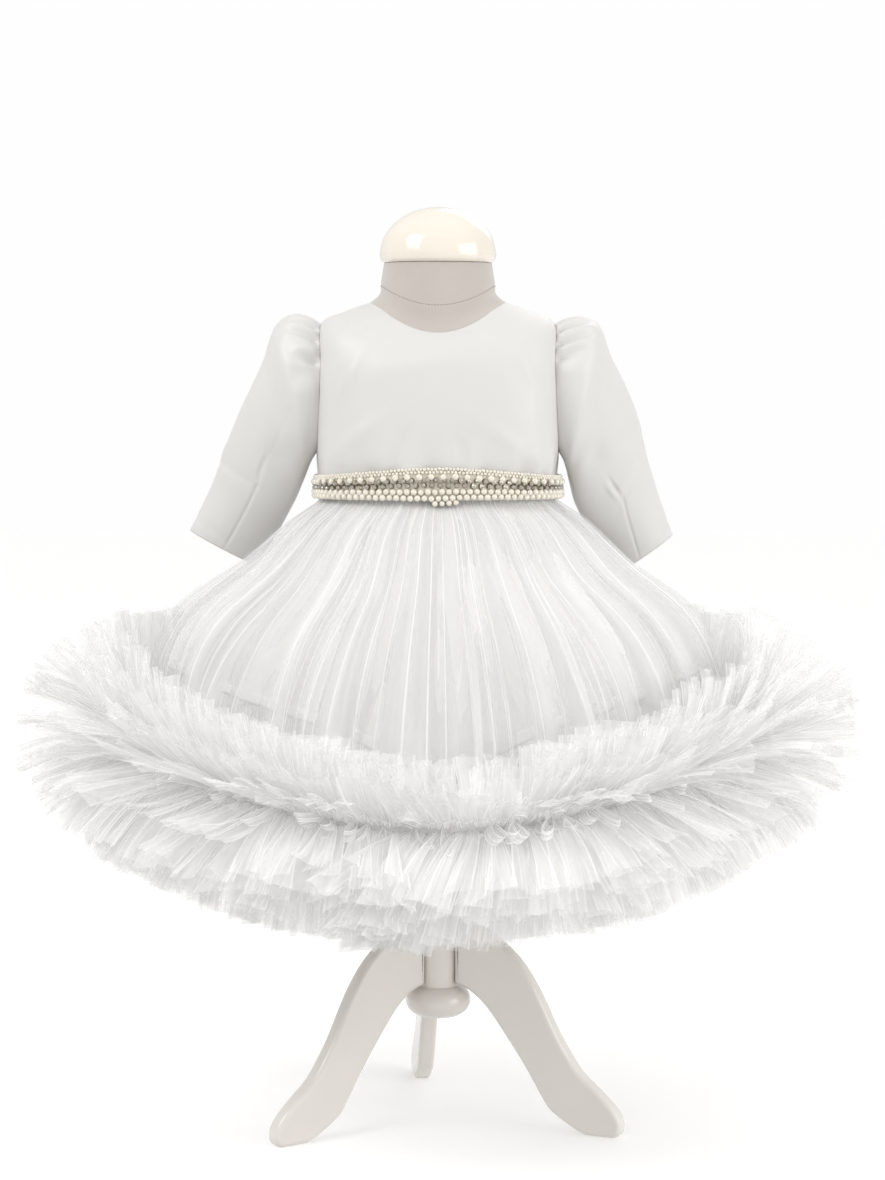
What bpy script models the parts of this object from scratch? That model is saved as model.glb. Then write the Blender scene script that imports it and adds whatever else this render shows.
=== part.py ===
"""Christening gown on a child's dress form.

Satin bodice and sleeves, a pearl belt, a tulle skirt over a satin underskirt, and a thick tulle ruffle
round the hem. The gown hangs on a limbless form with a turned post and three curved legs.

Metres, +Z up. The front faces -Y, and the gown's left side in these names is at -X. The origin is on the
floor under the middle of the gown. Round the body, angle 0 is the +X side and 90 degrees is the front.
"""
import math
from collections import namedtuple

import bmesh
import bpy
from mathutils import Vector

for old in list(bpy.data.objects):
    bpy.data.objects.remove(old, do_unlink=True)

# ---------------------------------------------------------------- driving sizes

SEAM = 0.0004                # gap left between two pieces at a seam
SEAT = 0.0003                # gap left where one hard piece stands on another
SATIN = 0.0015               # wall of the bodice and the sleeves, with their lining
TULLE = 0.0013               # wall of the gathered skirt and the underskirt
FRILL = 0.0020               # wall of one ring of the ruffle

BELT_BOTTOM_Z = 0.5035
BELT_SIDE_HEIGHT = 0.018     # the belt is wider at the front than at the sides
BELT_FRONT_HEIGHT = 0.026
BELT_WALL = 0.0022
BELT_CLEARANCE = 0.0026      # over the ribs, which clears the gathers under the belt
BELT_BEADS = 30
BEAD_HEIGHT = 0.0020

GATHERS = 26                 # soft gathers of the tulle skirt
LINING_WAVES = 10            # slacker waves of the underskirt
RUFFLE_WAVES = 26            # waves of each ring of the ruffle
STEPS_PER_WAVE = 4

POST_RADIUS = 0.0165
POST_BOTTOM_Z = 0.1100
BALL_RADIUS = 0.0265
LEG_THICKNESS = 0.014
LEG_ROUNDING = 0.003
BODY_COLUMNS = 32            # straight stretches round the bodice, and round the form inside it
LEG_AZIMUTHS = {"leg_left": -54.0, "leg_right": 66.0, "leg_back": 186.0}   # from the front, turning to +X

# ---------------------------------------------------------------- tables of sections

# A section round the body: its height at the sides, front and back, its reach from the middle line,
# where its middle lies front to back, how square it is (2 is an ellipse), and the depth of its gathers.
Section = namedtuple("Section", "side_z front_z back_z half_width front_depth back_depth middle_y square wave")

BODICE = (
    Section(0.5120, 0.5120, 0.5120, 0.0945, 0.0650, 0.0610, 0.0, 2.5, 0.0),     # waist seam
    Section(0.5260, 0.5260, 0.5260, 0.0948, 0.0662, 0.0616, 0.0, 2.6, 0.0),     # ribs
    Section(0.5405, 0.5405, 0.5405, 0.0962, 0.0678, 0.0630, 0.0, 2.8, 0.0),     # underarm
    Section(0.5740, 0.5720, 0.5740, 0.0966, 0.0690, 0.0650, 0.0, 2.9, 0.0),     # chest
    Section(0.6110, 0.6030, 0.6110, 0.0958, 0.0665, 0.0660, 0.0, 2.8, 0.0),     # yoke
    Section(0.6420, 0.6210, 0.6360, 0.0932, 0.0610, 0.0610, 0.0, 2.4, 0.0),     # shoulder tip
    Section(0.6520, 0.6290, 0.6470, 0.0740, 0.0560, 0.0560, 0.0, 2.1, 0.0),     # shoulder
    Section(0.6600, 0.6345, 0.6550, 0.0510, 0.0490, 0.0470, 0.0, 2.0, 0.0),     # neckline
)
UNDERARM_ROW = 2
SHOULDER_ROW = 5

SKIRT = (
    Section(0.5116, 0.5116, 0.5116, 0.0945, 0.0650, 0.0610, 0.0000, 2.5, 0.0000),   # waist seam
    Section(0.5020, 0.5010, 0.5020, 0.0965, 0.0670, 0.0625, 0.0000, 2.5, 0.0008),   # under the belt
    Section(0.4840, 0.4800, 0.4840, 0.1240, 0.0960, 0.0860, -0.005, 2.1, 0.0022),   # first spring
    Section(0.4540, 0.4430, 0.4560, 0.1600, 0.1200, 0.1050, -0.022, 2.0, 0.0032),   # beside the cuffs
    Section(0.4180, 0.3950, 0.4180, 0.2060, 0.1600, 0.1430, -0.014, 2.0, 0.0038),   # fullest slope
    Section(0.3700, 0.3350, 0.3660, 0.2300, 0.1950, 0.1900, 0.0000, 2.0, 0.0038),   # fall
    Section(0.3200, 0.2690, 0.3200, 0.2370, 0.2080, 0.2080, 0.0000, 2.0, 0.0000),   # sewn to the ruffle
)

# A row of the underskirt: where it lies down the skirt's sections, how far in from the tulle, its wall.
LiningRow = namedtuple("LiningRow", "row inset wall")
LINING = (
    LiningRow(0.00, 0.0017, 0.0013),     # waist seam
    LiningRow(1.00, 0.0030, 0.0013),
    LiningRow(2.00, 0.0080, 0.0013),
    LiningRow(3.20, 0.0115, 0.0013),
    LiningRow(4.30, 0.0140, 0.0013),
    LiningRow(5.12, 0.0160, 0.0013),
    LiningRow(5.18, 0.0150, 0.0030),     # bound hem
    LiningRow(5.32, 0.0150, 0.0030),
)

# The form, from the top down. Inside the bodice it has the bodice's own sections, set in from the cloth.
CAP = (
    Section(0.7350, 0.7350, 0.7350, 0.0040, 0.0040, 0.0040, 0.0, 2.0, 0.0),     # crown
    Section(0.7320, 0.7320, 0.7320, 0.0170, 0.0165, 0.0165, 0.0, 2.0, 0.0),
    Section(0.7240, 0.7240, 0.7240, 0.0320, 0.0310, 0.0310, 0.0, 2.0, 0.0),
    Section(0.7120, 0.7120, 0.7120, 0.0425, 0.0410, 0.0410, 0.0, 2.0, 0.0),
    Section(0.6990, 0.6990, 0.6990, 0.0462, 0.0446, 0.0446, 0.0, 2.0, 0.0),
    Section(0.6930, 0.6930, 0.6930, 0.0455, 0.0440, 0.0440, 0.0, 2.0, 0.0),     # overhanging rim
    Section(0.6904, 0.6904, 0.6904, 0.0430, 0.0415, 0.0415, 0.0, 2.0, 0.0),
)
FORM_NECK = (
    Section(0.6900, 0.6900, 0.6900, 0.0430, 0.0410, 0.0410, 0.0, 2.0, 0.0),     # under the cap
    Section(0.6760, 0.6640, 0.6740, 0.0452, 0.0435, 0.0420, 0.0, 2.0, 0.0),
    Section(0.6640, 0.6400, 0.6600, 0.0476, 0.0458, 0.0440, 0.0, 2.0, 0.0),
)
FormRow = namedtuple("FormRow", "row inset")
FORM_BODY = (
    FormRow(7.0, 0.0022),        # neckline
    FormRow(6.4, 0.0022),        # the cloth rests here, on the shoulders
    FormRow(5.7, 0.0022),
    FormRow(5.0, 0.0034),
    FormRow(4.5, 0.0042),
    FormRow(4.0, 0.0042),
    FormRow(3.0, 0.0042),
    FormRow(2.0, 0.0042),
    FormRow(1.0, 0.0038),
    FormRow(0.0, 0.0044),        # inside the waist seam of both skirts
)
FORM_FOOT = (
    Section(0.4750, 0.4750, 0.4750, 0.0870, 0.0590, 0.0550, 0.0, 2.5, 0.0),     # hips
    Section(0.4400, 0.4400, 0.4400, 0.0790, 0.0540, 0.0510, 0.0, 2.4, 0.0),
    Section(0.4300, 0.4300, 0.4300, 0.0700, 0.0480, 0.0450, 0.0, 2.3, 0.0),     # flat underside
)

# A section of a sleeve, seen from the front: its outer and inner edge, its middle front to back,
# and half its depth front to back. Distances across are measured from the middle of the gown.
SleeveSection = namedtuple("SleeveSection", "outer_x outer_z inner_x inner_z middle_y half_depth")

SLEEVE_LEFT = (
    SleeveSection(0.1110, 0.6520, 0.0990, 0.5370, 0.000, 0.0350),    # gathered head
    SleeveSection(0.1300, 0.6310, 0.1030, 0.5290, 0.005, 0.0345),
    SleeveSection(0.1470, 0.5990, 0.1080, 0.5170, 0.014, 0.0320),
    SleeveSection(0.1610, 0.5700, 0.1140, 0.5040, 0.026, 0.0295),
    SleeveSection(0.1730, 0.5430, 0.1220, 0.4880, 0.040, 0.0270),    # elbow
    SleeveSection(0.1860, 0.5110, 0.1345, 0.4680, 0.056, 0.0240),
    SleeveSection(0.2050, 0.4740, 0.1500, 0.4450, 0.072, 0.0210),    # cuff
)
SLEEVE_RIGHT = (
    SleeveSection(0.1110, 0.6480, 0.0990, 0.5370, 0.000, 0.0350),    # gathered head
    SleeveSection(0.1290, 0.6320, 0.1025, 0.5270, 0.005, 0.0345),
    SleeveSection(0.1450, 0.6040, 0.1060, 0.5140, 0.015, 0.0320),
    SleeveSection(0.1590, 0.5750, 0.1110, 0.4980, 0.028, 0.0295),
    SleeveSection(0.1680, 0.5450, 0.1200, 0.4820, 0.043, 0.0270),    # elbow
    SleeveSection(0.1780, 0.5120, 0.1345, 0.4640, 0.059, 0.0240),
    SleeveSection(0.1940, 0.4700, 0.1500, 0.4390, 0.076, 0.0210),    # cuff
)
ARMHOLE_KNOTS = 12           # straight stretches round an armhole
SLEEVE_COLUMNS = 24
ARMHOLE_SPREAD = 17.5        # degrees that the armhole opens to each side of the side seam
HEAD_GATHER_TURNS = (-38.0, -8.0, 24.0)      # degrees round the sleeve from its top, minus is the front
HEAD_GATHER_WIDTH = 12.0
HEAD_GATHER_DEPTH = 0.0022

# One of the four rings of the ruffle: how steeply it leaves the spine and how steeply it ends, in degrees
# above level, its reach, the depth of its waves at the edge, and where along a wave it starts.
Frill = namedtuple("Frill", "name root_angle edge_angle reach wave_depth start")
FRILLS = (
    Frill("ruffle_top", 70.0, 58.0, 0.090, 0.013, 0.0),
    Frill("ruffle_upper", 30.0, 22.0, 0.094, 0.014, 1.7),
    Frill("ruffle_lower", -10.0, -24.0, 0.096, 0.014, 3.3),
    Frill("ruffle_bottom", -50.0, -72.0, 0.088, 0.013, 4.9),
)
FRILL_ROWS = (0.0, 0.45, 1.0)
SPINE_RADIUS = 0.0060
SPINE_SIDES = 9
SPINE_COLUMNS = 52

# The turned profiles of the post and of the flattened ball under it, from the bottom up.
TurnedPoint = namedtuple("TurnedPoint", "radius height")
POST = (
    TurnedPoint(POST_RADIUS, POST_BOTTOM_Z),
    TurnedPoint(POST_RADIUS, FORM_FOOT[-1].side_z - SEAT),
)
POST_BALL = (
    TurnedPoint(0.0100, 0.0840),
    TurnedPoint(0.0205, 0.0870),
    TurnedPoint(BALL_RADIUS, 0.0965),
    TurnedPoint(0.0225, 0.1050),
    TurnedPoint(0.0150, POST_BOTTOM_Z - SEAT),
)

# The outline of a leg in its own upright plane: distance from the post's axis and height.
LegPoint = namedtuple("LegPoint", "out up")
LEG_OUTLINE = (
    LegPoint(0.0170, 0.1115),    # root, bottom
    LegPoint(0.0290, 0.1080),
    LegPoint(0.0450, 0.0950),
    LegPoint(0.0650, 0.0690),
    LegPoint(0.0810, 0.0460),
    LegPoint(0.0945, 0.0240),
    LegPoint(0.1040, 0.0140),    # heel of the foot
    LegPoint(0.1300, 0.0000),    # sole
    LegPoint(0.1540, 0.0000),    # toe
    LegPoint(0.1600, 0.0080),
    LegPoint(0.1560, 0.0200),
    LegPoint(0.1400, 0.0360),
    LegPoint(0.1240, 0.0500),
    LegPoint(0.1060, 0.0770),
    LegPoint(0.0880, 0.1120),
    LegPoint(0.0700, 0.1370),
    LegPoint(0.0480, 0.1540),
    LegPoint(0.0300, 0.1620),
    LegPoint(0.0170, 0.1640),    # root, top
)

# ---------------------------------------------------------------- materials


def paint(name, colour, roughness, sheen=0.0, coat=0.0):
    """A plain material in one colour."""
    material = bpy.data.materials.new(name)
    material.use_nodes = True
    shader = material.node_tree.nodes["Principled BSDF"]
    shader.inputs["Base Color"].default_value = (*colour, 1.0)
    shader.inputs["Roughness"].default_value = roughness
    shader.inputs["Metallic"].default_value = 0.0
    shader.inputs["Sheen Weight"].default_value = sheen
    shader.inputs["Coat Weight"].default_value = coat
    return material


satin = paint("satin", (0.80, 0.79, 0.77), 0.38, sheen=0.3)
tulle = paint("tulle", (0.92, 0.92, 0.91), 0.85, sheen=0.5)
pearl = paint("pearl", (0.83, 0.78, 0.66), 0.25, coat=0.5)
jersey = paint("jersey", (0.66, 0.60, 0.55), 0.90)
cap_gloss = paint("cap gloss", (0.90, 0.83, 0.72), 0.18, coat=0.6)
lacquer = paint("lacquer", (0.66, 0.62, 0.56), 0.25, coat=0.5)

# ---------------------------------------------------------------- curves and surfaces


def between(sections, row):
    """A section at a fractional row, on a smooth curve through the table's sections."""
    last = len(sections) - 1
    index = min(int(row), last - 1)
    part = row - index
    before = sections[max(index - 1, 0)]
    here, there = sections[index], sections[index + 1]
    after = sections[min(index + 2, last)]
    values = []
    for a, b, c, d in zip(before, here, there, after):
        curve = 2 * b + (c - a) * part + (2 * a - 5 * b + 4 * c - d) * part ** 2
        values.append(0.5 * (curve + (3 * b - a - 3 * c + d) * part ** 3))
    return type(here)(*values)


def round_body(section, angle):
    """The point of a section at an angle round the body, in radians."""
    across, forward = math.cos(angle), math.sin(angle)
    depth = section.front_depth if forward > 0 else section.back_depth
    end_z = section.front_z if forward > 0 else section.back_z
    reach = (abs(across) / section.half_width) ** section.square + (abs(forward) / depth) ** section.square
    reach = reach ** (-1.0 / section.square)
    share = min(1.0, abs(reach * forward) / depth) ** 2
    height = section.side_z + (end_z - section.side_z) * share
    return Vector((reach * across, section.middle_y - reach * forward, height))


def grid_normals(grid, closed):
    """The outward normal at each point of a grid whose rows come from the top down."""
    normals = []
    for i, row in enumerate(grid):
        above, below = grid[max(i - 1, 0)], grid[min(i + 1, len(grid) - 1)]
        line = []
        for j in range(len(row)):
            if closed:
                left, right = row[j - 1], row[(j + 1) % len(row)]
            else:
                left, right = row[max(j - 1, 0)], row[min(j + 1, len(row) - 1)]
            line.append((right - left).cross(below[j] - above[j]).normalized())
        normals.append(line)
    return normals


def moved_in(grid, closed, distance):
    """The grid moved in against its normals, by one distance or by one for each row."""
    normals = grid_normals(grid, closed)
    distances = distance if isinstance(distance, list) else [distance] * len(grid)
    return [[point - normal * step for point, normal in zip(row, line)]
            for row, line, step in zip(grid, normals, distances)]


def make_object(name, shape, material):
    """Put a finished bmesh into the scene as one named piece."""
    bmesh.ops.recalc_face_normals(shape, faces=shape.faces)
    mesh = bpy.data.meshes.new(name)
    shape.to_mesh(mesh)
    shape.free()
    mesh.materials.append(material)
    mesh.shade_smooth()
    mesh.set_sharp_from_angle(angle=math.radians(40))
    piece = bpy.data.objects.new(name, mesh)
    bpy.context.scene.collection.objects.link(piece)
    return piece


def cloth_wall(name, outer, inner, closed, material):
    """A wall of cloth between an outer and an inner grid, with its rims closed."""
    shape = bmesh.new()
    faces = [[[shape.verts.new(point) for point in row] for row in grid] for grid in (outer, inner)]
    across = len(outer[0]) if closed else len(outer[0]) - 1
    for sheet in faces:
        for upper, lower in zip(sheet, sheet[1:]):
            for j in range(across):
                k = (j + 1) % len(upper)
                shape.faces.new((upper[j], upper[k], lower[k], lower[j]))
    for rim in (0, -1):
        for j in range(across):
            k = (j + 1) % len(outer[0])
            shape.faces.new((faces[0][rim][j], faces[0][rim][k], faces[1][rim][k], faces[1][rim][j]))
    if not closed:
        for side in (0, -1):
            for i in range(len(outer) - 1):
                shape.faces.new((faces[0][i][side], faces[0][i + 1][side],
                                 faces[1][i + 1][side], faces[1][i][side]))
    return make_object(name, shape, material)


def ring_halves(name, outer, inner, material):
    """A wall that runs right round, sewn from a front and a back half with a seam at each side."""
    half = len(outer[0]) // 2
    for suffix, first in (("front", 0), ("back", half)):
        pair = []
        for grid in (outer, inner):
            columns = [[row[(first + j) % len(row)].copy() for j in range(half + 1)] for row in grid]
            for line in columns:
                line[0] = line[0] + (line[1] - line[0]).normalized() * SEAM / 2
                line[-1] = line[-1] + (line[-2] - line[-1]).normalized() * SEAM / 2
            pair.append(columns)
        cloth_wall(name + "_" + suffix, pair[0], pair[1], False, material)


def solid_stack(name, rows, material):
    """A closed solid through a stack of rings, with flat ends."""
    shape = bmesh.new()
    rings = [[shape.verts.new(point) for point in row] for row in rows]
    for upper, lower in zip(rings, rings[1:]):
        for j in range(len(upper)):
            k = (j + 1) % len(upper)
            shape.faces.new((upper[j], upper[k], lower[k], lower[j]))
    shape.faces.new(rings[0])
    shape.faces.new(rings[-1])
    return make_object(name, shape, material)


def full_turn(columns):
    return [2 * math.pi * j / columns for j in range(columns)]


# ---------------------------------------------------------------- bodice

ARMHOLE_MIDDLE = (UNDERARM_ROW + SHOULDER_ROW) / 2
ARMHOLE_HALF = (SHOULDER_ROW - UNDERARM_ROW) / 2
SHRUNK = 0.985               # the sleeve's root inside the armhole, as a share of its size
ROOT_COLLAR = 0.0022         # how far the root stands out of the armhole before it puffs


def armhole_turns():
    return [2 * math.pi * j / ARMHOLE_KNOTS for j in range(ARMHOLE_KNOTS)]


def bodice_rows():
    """Rows of the bodice, with one at each knot of the armholes."""
    knots = [math.cos(turn) for turn in armhole_turns()[:ARMHOLE_KNOTS // 2 + 1]]
    armhole = sorted(ARMHOLE_MIDDLE + ARMHOLE_HALF * knot for knot in knots)
    return [0.0, 1.0] + armhole + [SHOULDER_ROW + 0.7, SHOULDER_ROW + 1.4, len(BODICE) - 1.0]


def side_edge(row):
    """How far a panel's edge lies from the side line at a row, in radians: a seam or the armhole."""
    rise = (row - ARMHOLE_MIDDLE) / ARMHOLE_HALF
    seam = 0.5 * SEAM / between(BODICE, row).half_width
    if abs(rise) >= 1.0:
        return seam
    return max(seam, math.radians(ARMHOLE_SPREAD) * math.sqrt(1.0 - rise * rise))


def bodice_panel(name, start, end, start_seam, end_seam, columns):
    """A panel between two angles. Each edge is a side, shaped by the armhole, or a straight seam."""
    outer = []
    for row in reversed(bodice_rows()):
        section = between(BODICE, row)
        seam = 0.5 * SEAM / section.back_depth
        first = start + (side_edge(row) if start_seam == "side" else seam)
        last = end - (side_edge(row) if end_seam == "side" else seam)
        angles = [first + (last - first) * j / columns for j in range(columns + 1)]
        outer.append([round_body(section, angle) for angle in angles])
    inner = moved_in(outer, False, SATIN)
    for inside, outside in zip(inner, outer):
        for edge in (0, -1):
            across = 0 if abs(outside[edge].x) < abs(outside[edge].y) else 1
            inside[edge][across] = outside[edge][across]
    return cloth_wall(name, outer, inner, False, satin)


bodice_panel("bodice_front", 0.0, math.pi, "side", "side", BODY_COLUMNS // 2)
bodice_panel("bodice_back_left", math.pi, 1.5 * math.pi, "side", "seam", BODY_COLUMNS // 4)
bodice_panel("bodice_back_right", 1.5 * math.pi, 2 * math.pi, "seam", "side", BODY_COLUMNS // 4)

# ---------------------------------------------------------------- sleeves


def armhole_loop(side, share):
    """Points round an armhole on the bodice's outer surface, from its top, front first."""
    knots = []
    for turn in armhole_turns():
        row = ARMHOLE_MIDDLE + ARMHOLE_HALF * share * math.cos(turn)
        angle = math.radians(ARMHOLE_SPREAD) * share * math.sin(turn)
        point = round_body(between(BODICE, row), angle)
        knots.append(Vector((side * point.x, point.y, point.z)))
    between_knots = SLEEVE_COLUMNS // ARMHOLE_KNOTS
    loop = []
    for knot, following in zip(knots, knots[1:] + knots[:1]):
        loop += [knot.lerp(following, part / between_knots) for part in range(between_knots)]
    return loop


def head_gather(turn):
    """Depth of the gathers of the sleeve head at a turn from its top, minus being the back."""
    degrees = math.degrees((turn + math.pi) % (2 * math.pi) - math.pi)
    return sum(HEAD_GATHER_DEPTH * math.exp(-((degrees + middle) / HEAD_GATHER_WIDTH) ** 2)
               for middle in HEAD_GATHER_TURNS)


def sleeve(name, side, table):
    """A set-in sleeve: its root in the armhole, then the sections down to the open cuff."""
    root = armhole_loop(side, SHRUNK)
    outer = [[point + Vector((side * step, 0, 0)) for point in root] for step in (-SEAM, ROOT_COLLAR)]
    for number, section in enumerate(table):
        top = Vector((side * section.outer_x, section.middle_y, section.outer_z))
        foot = Vector((side * section.inner_x, section.middle_y, section.inner_z))
        middle, half = (top + foot) / 2, (top - foot) / 2
        row = []
        for turn in full_turn(SLEEVE_COLUMNS):
            puff = 1.0 - (head_gather(turn) / half.length if number == 0 else 0.0)
            row.append(middle + half * math.cos(turn) * puff
                       - Vector((0, section.half_depth * math.sin(turn) * puff, 0)))
        outer.append(row)
    inner = moved_in(outer, True, SATIN * side)
    return cloth_wall(name, outer, inner, True, satin)


sleeve("sleeve_left", -1, SLEEVE_LEFT)
sleeve("sleeve_right", 1, SLEEVE_RIGHT)

# ---------------------------------------------------------------- belt


def belt():
    """A band round the waist seam, with one row of large pearls raised on it."""
    columns = BELT_BEADS * 4
    grids = {"outer": [], "inner": []}
    stations = ((0.0, 0.0), (0.30, 0.3), (0.60, 1.0), (1.0, 0.0))    # share up, share of a bead's height
    for share, bead in stations:
        outer_row, inner_row = [], []
        for column, angle in enumerate(full_turn(columns)):
            front = max(0.0, math.sin(angle)) ** 2
            height = BELT_SIDE_HEIGHT + (BELT_FRONT_HEIGHT - BELT_SIDE_HEIGHT) * front
            bodice = round_body(BODICE[1], angle)
            outward = Vector((bodice.x, bodice.y, 0.0)).normalized()
            bead_share = 0.5 - 0.5 * math.cos(2 * math.pi * column / 4)
            base = Vector((bodice.x, bodice.y, BELT_BOTTOM_Z + height * share)) + outward * BELT_CLEARANCE
            inner_row.append(base)
            outer_row.append(base + outward * (BELT_WALL + BEAD_HEIGHT * bead * bead_share))
        grids["outer"].insert(0, outer_row)
        grids["inner"].insert(0, inner_row)
    return cloth_wall("belt", grids["outer"], grids["inner"], True, pearl)


belt()

# ---------------------------------------------------------------- skirt and underskirt


def uneven(angle):
    """A slow drift round the hem that keeps gathers and waves from being all alike."""
    return 0.55 * math.sin(3 * angle + 0.6) + 0.35 * math.sin(7 * angle + 2.0)


def skirt_grid(rows, waves, steps, depth_share):
    grid = []
    for row in rows:
        section = between(SKIRT, row)
        line = []
        for angle in full_turn(waves * steps):
            point = round_body(section, angle)
            outward = Vector((point.x, point.y - section.middle_y, 0.0)).normalized()
            ripple = math.cos(waves * angle + uneven(angle)) * (0.8 + 0.2 * math.sin(5 * angle))
            line.append(point + outward * section.wave * depth_share * ripple)
        grid.append(line)
    return grid


tulle_outer = skirt_grid(range(len(SKIRT)), GATHERS, STEPS_PER_WAVE, 1.0)
ring_halves("skirt", tulle_outer, moved_in(tulle_outer, True, TULLE), tulle)

lining_base = skirt_grid([line.row for line in LINING], LINING_WAVES, STEPS_PER_WAVE, 0.4)
lining_outer = moved_in(lining_base, True, [line.inset for line in LINING])
lining_inner = moved_in(lining_base, True, [line.inset + line.wall for line in LINING])
ring_halves("underskirt", lining_outer, lining_inner, satin)

# ---------------------------------------------------------------- ruffle


def spine_point(angle):
    """The middle of the ruffle's spine, just outside the skirt, and the level direction outwards."""
    hem = SKIRT[-1]
    point = round_body(hem, angle)
    outward = Vector((point.x / hem.half_width ** 2, point.y / hem.front_depth ** 2, 0.0)).normalized()
    return point + outward * (SPINE_RADIUS + 2 * SEAM), outward


def in_fan(outward, degrees):
    """The direction at an angle above level in the upright plane across the spine."""
    return outward * math.cos(math.radians(degrees)) + Vector((0, 0, math.sin(math.radians(degrees))))


def ruffle_spine():
    rings = []
    for angle in full_turn(SPINE_COLUMNS):
        middle, outward = spine_point(angle)
        turns = [FRILLS[0].root_angle - 360.0 * k / SPINE_SIDES for k in range(SPINE_SIDES)]
        rings.append([middle + in_fan(outward, turn) * SPINE_RADIUS for turn in turns])
    shape = bmesh.new()
    loops = [[shape.verts.new(point) for point in ring] for ring in rings]
    for here, there in zip(loops, loops[1:] + loops[:1]):
        for j in range(SPINE_SIDES):
            k = (j + 1) % SPINE_SIDES
            shape.faces.new((here[j], here[k], there[k], there[j]))
    return make_object("ruffle_spine", shape, tulle)


def frill_wall(frill):
    """One ring of the ruffle, flat at its root and waved at its edge."""
    middle_sheet = []
    for share in FRILL_ROWS:
        row = []
        for angle in full_turn(RUFFLE_WAVES * STEPS_PER_WAVE):
            middle, outward = spine_point(angle)
            lean = frill.root_angle + (frill.edge_angle - frill.root_angle) * share
            along, over = in_fan(outward, lean), in_fan(outward, lean + 90.0)
            edge = frill.reach * (1.0 + 0.04 * math.sin(4 * angle + frill.start))
            root = SPINE_RADIUS + 1.2 * SEAM
            depth = frill.wave_depth * (0.75 + 0.25 * math.sin(6 * angle + frill.start)) * share ** 1.2
            wave = math.cos(RUFFLE_WAVES * angle + frill.start + uneven(angle))
            row.append(middle + along * (root + (edge - root) * share) + over * depth * wave)
        middle_sheet.append(row)
    outer = moved_in(middle_sheet, True, -FRILL / 2)
    inner = moved_in(middle_sheet, True, FRILL / 2)
    ring_halves(frill.name, outer, inner, tulle)


ruffle_spine()
for ring in FRILLS:
    frill_wall(ring)

# ---------------------------------------------------------------- form, post and legs



def rings(sections, columns):
    return [[round_body(section, angle) for angle in full_turn(columns)] for section in sections]


def form_body():
    """The jersey torso and neck, inside the cloth all round."""
    body = rings([between(BODICE, line.row) for line in FORM_BODY], BODY_COLUMNS)
    body = moved_in(body, True, [line.inset for line in FORM_BODY])
    stack = rings(FORM_NECK, BODY_COLUMNS) + body + rings(FORM_FOOT, BODY_COLUMNS)
    return solid_stack("form_body", stack, jersey)


def turned(name, profile, material, columns=20):
    """A turned solid with flat ends."""
    rows = [[Vector((point.radius * math.cos(turn), point.radius * math.sin(turn), point.height))
             for turn in full_turn(columns)] for point in profile]
    return solid_stack(name, rows, material)


def leg(name, azimuth):
    """A leg cut from a board, with rounded edges, standing on its toe."""
    turn = math.radians(azimuth)
    outward = Vector((math.sin(turn), -math.cos(turn), 0.0))
    across = Vector((outward.y, -outward.x, 0.0))
    shape = bmesh.new()
    side = [shape.verts.new(outward * point.out + Vector((0, 0, point.up)) - across * LEG_THICKNESS / 2)
            for point in LEG_OUTLINE]
    board = shape.faces.new(side)
    extruded = bmesh.ops.extrude_face_region(shape, geom=[board])
    corners = [item for item in extruded["geom"] if isinstance(item, bmesh.types.BMVert)]
    bmesh.ops.translate(shape, verts=corners, vec=across * LEG_THICKNESS)
    piece = make_object(name, shape, lacquer)
    rounding = piece.modifiers.new("rounded edges", "BEVEL")
    rounding.width = LEG_ROUNDING
    rounding.segments = 1
    rounding.limit_method = "ANGLE"
    rounding.angle_limit = math.radians(60)
    return piece


form_body()
solid_stack("form_cap", rings(CAP, 24), cap_gloss)
turned("post", POST, lacquer)
turned("post_ball", POST_BALL, lacquer)
for leg_name, leg_azimuth in LEG_AZIMUTHS.items():
    leg(leg_name, leg_azimuth)
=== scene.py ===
"""Looks of a christening gown on a child's dress form.

White satin bodice and sleeves, a belt of pearls and stones, a tulle skirt over a satin underskirt and a
thick tulle ruffle, on a jersey-covered form with a lacquered wooden stand. Metres, +Z up, front at -Y.
Round the body, angle 0 is the +X side and 90 degrees is the front.
"""
import math
import random
from bisect import bisect_left
from collections import namedtuple

import bmesh
import bpy
from mathutils import Matrix, Vector, noise


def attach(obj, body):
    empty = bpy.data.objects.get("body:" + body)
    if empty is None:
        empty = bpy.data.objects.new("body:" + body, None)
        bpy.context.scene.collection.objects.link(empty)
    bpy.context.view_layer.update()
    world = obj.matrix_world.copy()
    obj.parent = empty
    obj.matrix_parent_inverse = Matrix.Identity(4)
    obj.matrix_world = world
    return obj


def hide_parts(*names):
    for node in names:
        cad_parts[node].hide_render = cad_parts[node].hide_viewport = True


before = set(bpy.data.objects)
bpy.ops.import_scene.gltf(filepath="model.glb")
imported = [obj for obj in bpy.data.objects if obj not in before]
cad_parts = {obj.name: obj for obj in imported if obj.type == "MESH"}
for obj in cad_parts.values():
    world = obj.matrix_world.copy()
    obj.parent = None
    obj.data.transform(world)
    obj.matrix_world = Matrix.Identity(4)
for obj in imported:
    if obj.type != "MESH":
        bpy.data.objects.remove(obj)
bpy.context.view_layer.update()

# ---- studio
# A white room: pale floor, even light from all round and soft lamps at both sides, so that white cloth
# shows by its own soft shade. The camera stands level with the shoulders and looks down a little.

EYE = Vector((0.0036, -2.3, 0.60))
EYE_DIP = math.radians(4.24)
LENS, FRAME_HEIGHT = 87.7, 36.0  # millimetres
WALLS = (0.99, 0.99, 0.99, 1.0)
LIGHT_BELOW = (0.70, 0.688, 0.670, 1.0)  # the warm glow of the floor
LIGHT_ABOVE = (0.88, 0.88, 0.88, 1.0)
LAMPS_AIM = Vector((0.0, 0.0, 0.4))

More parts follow.
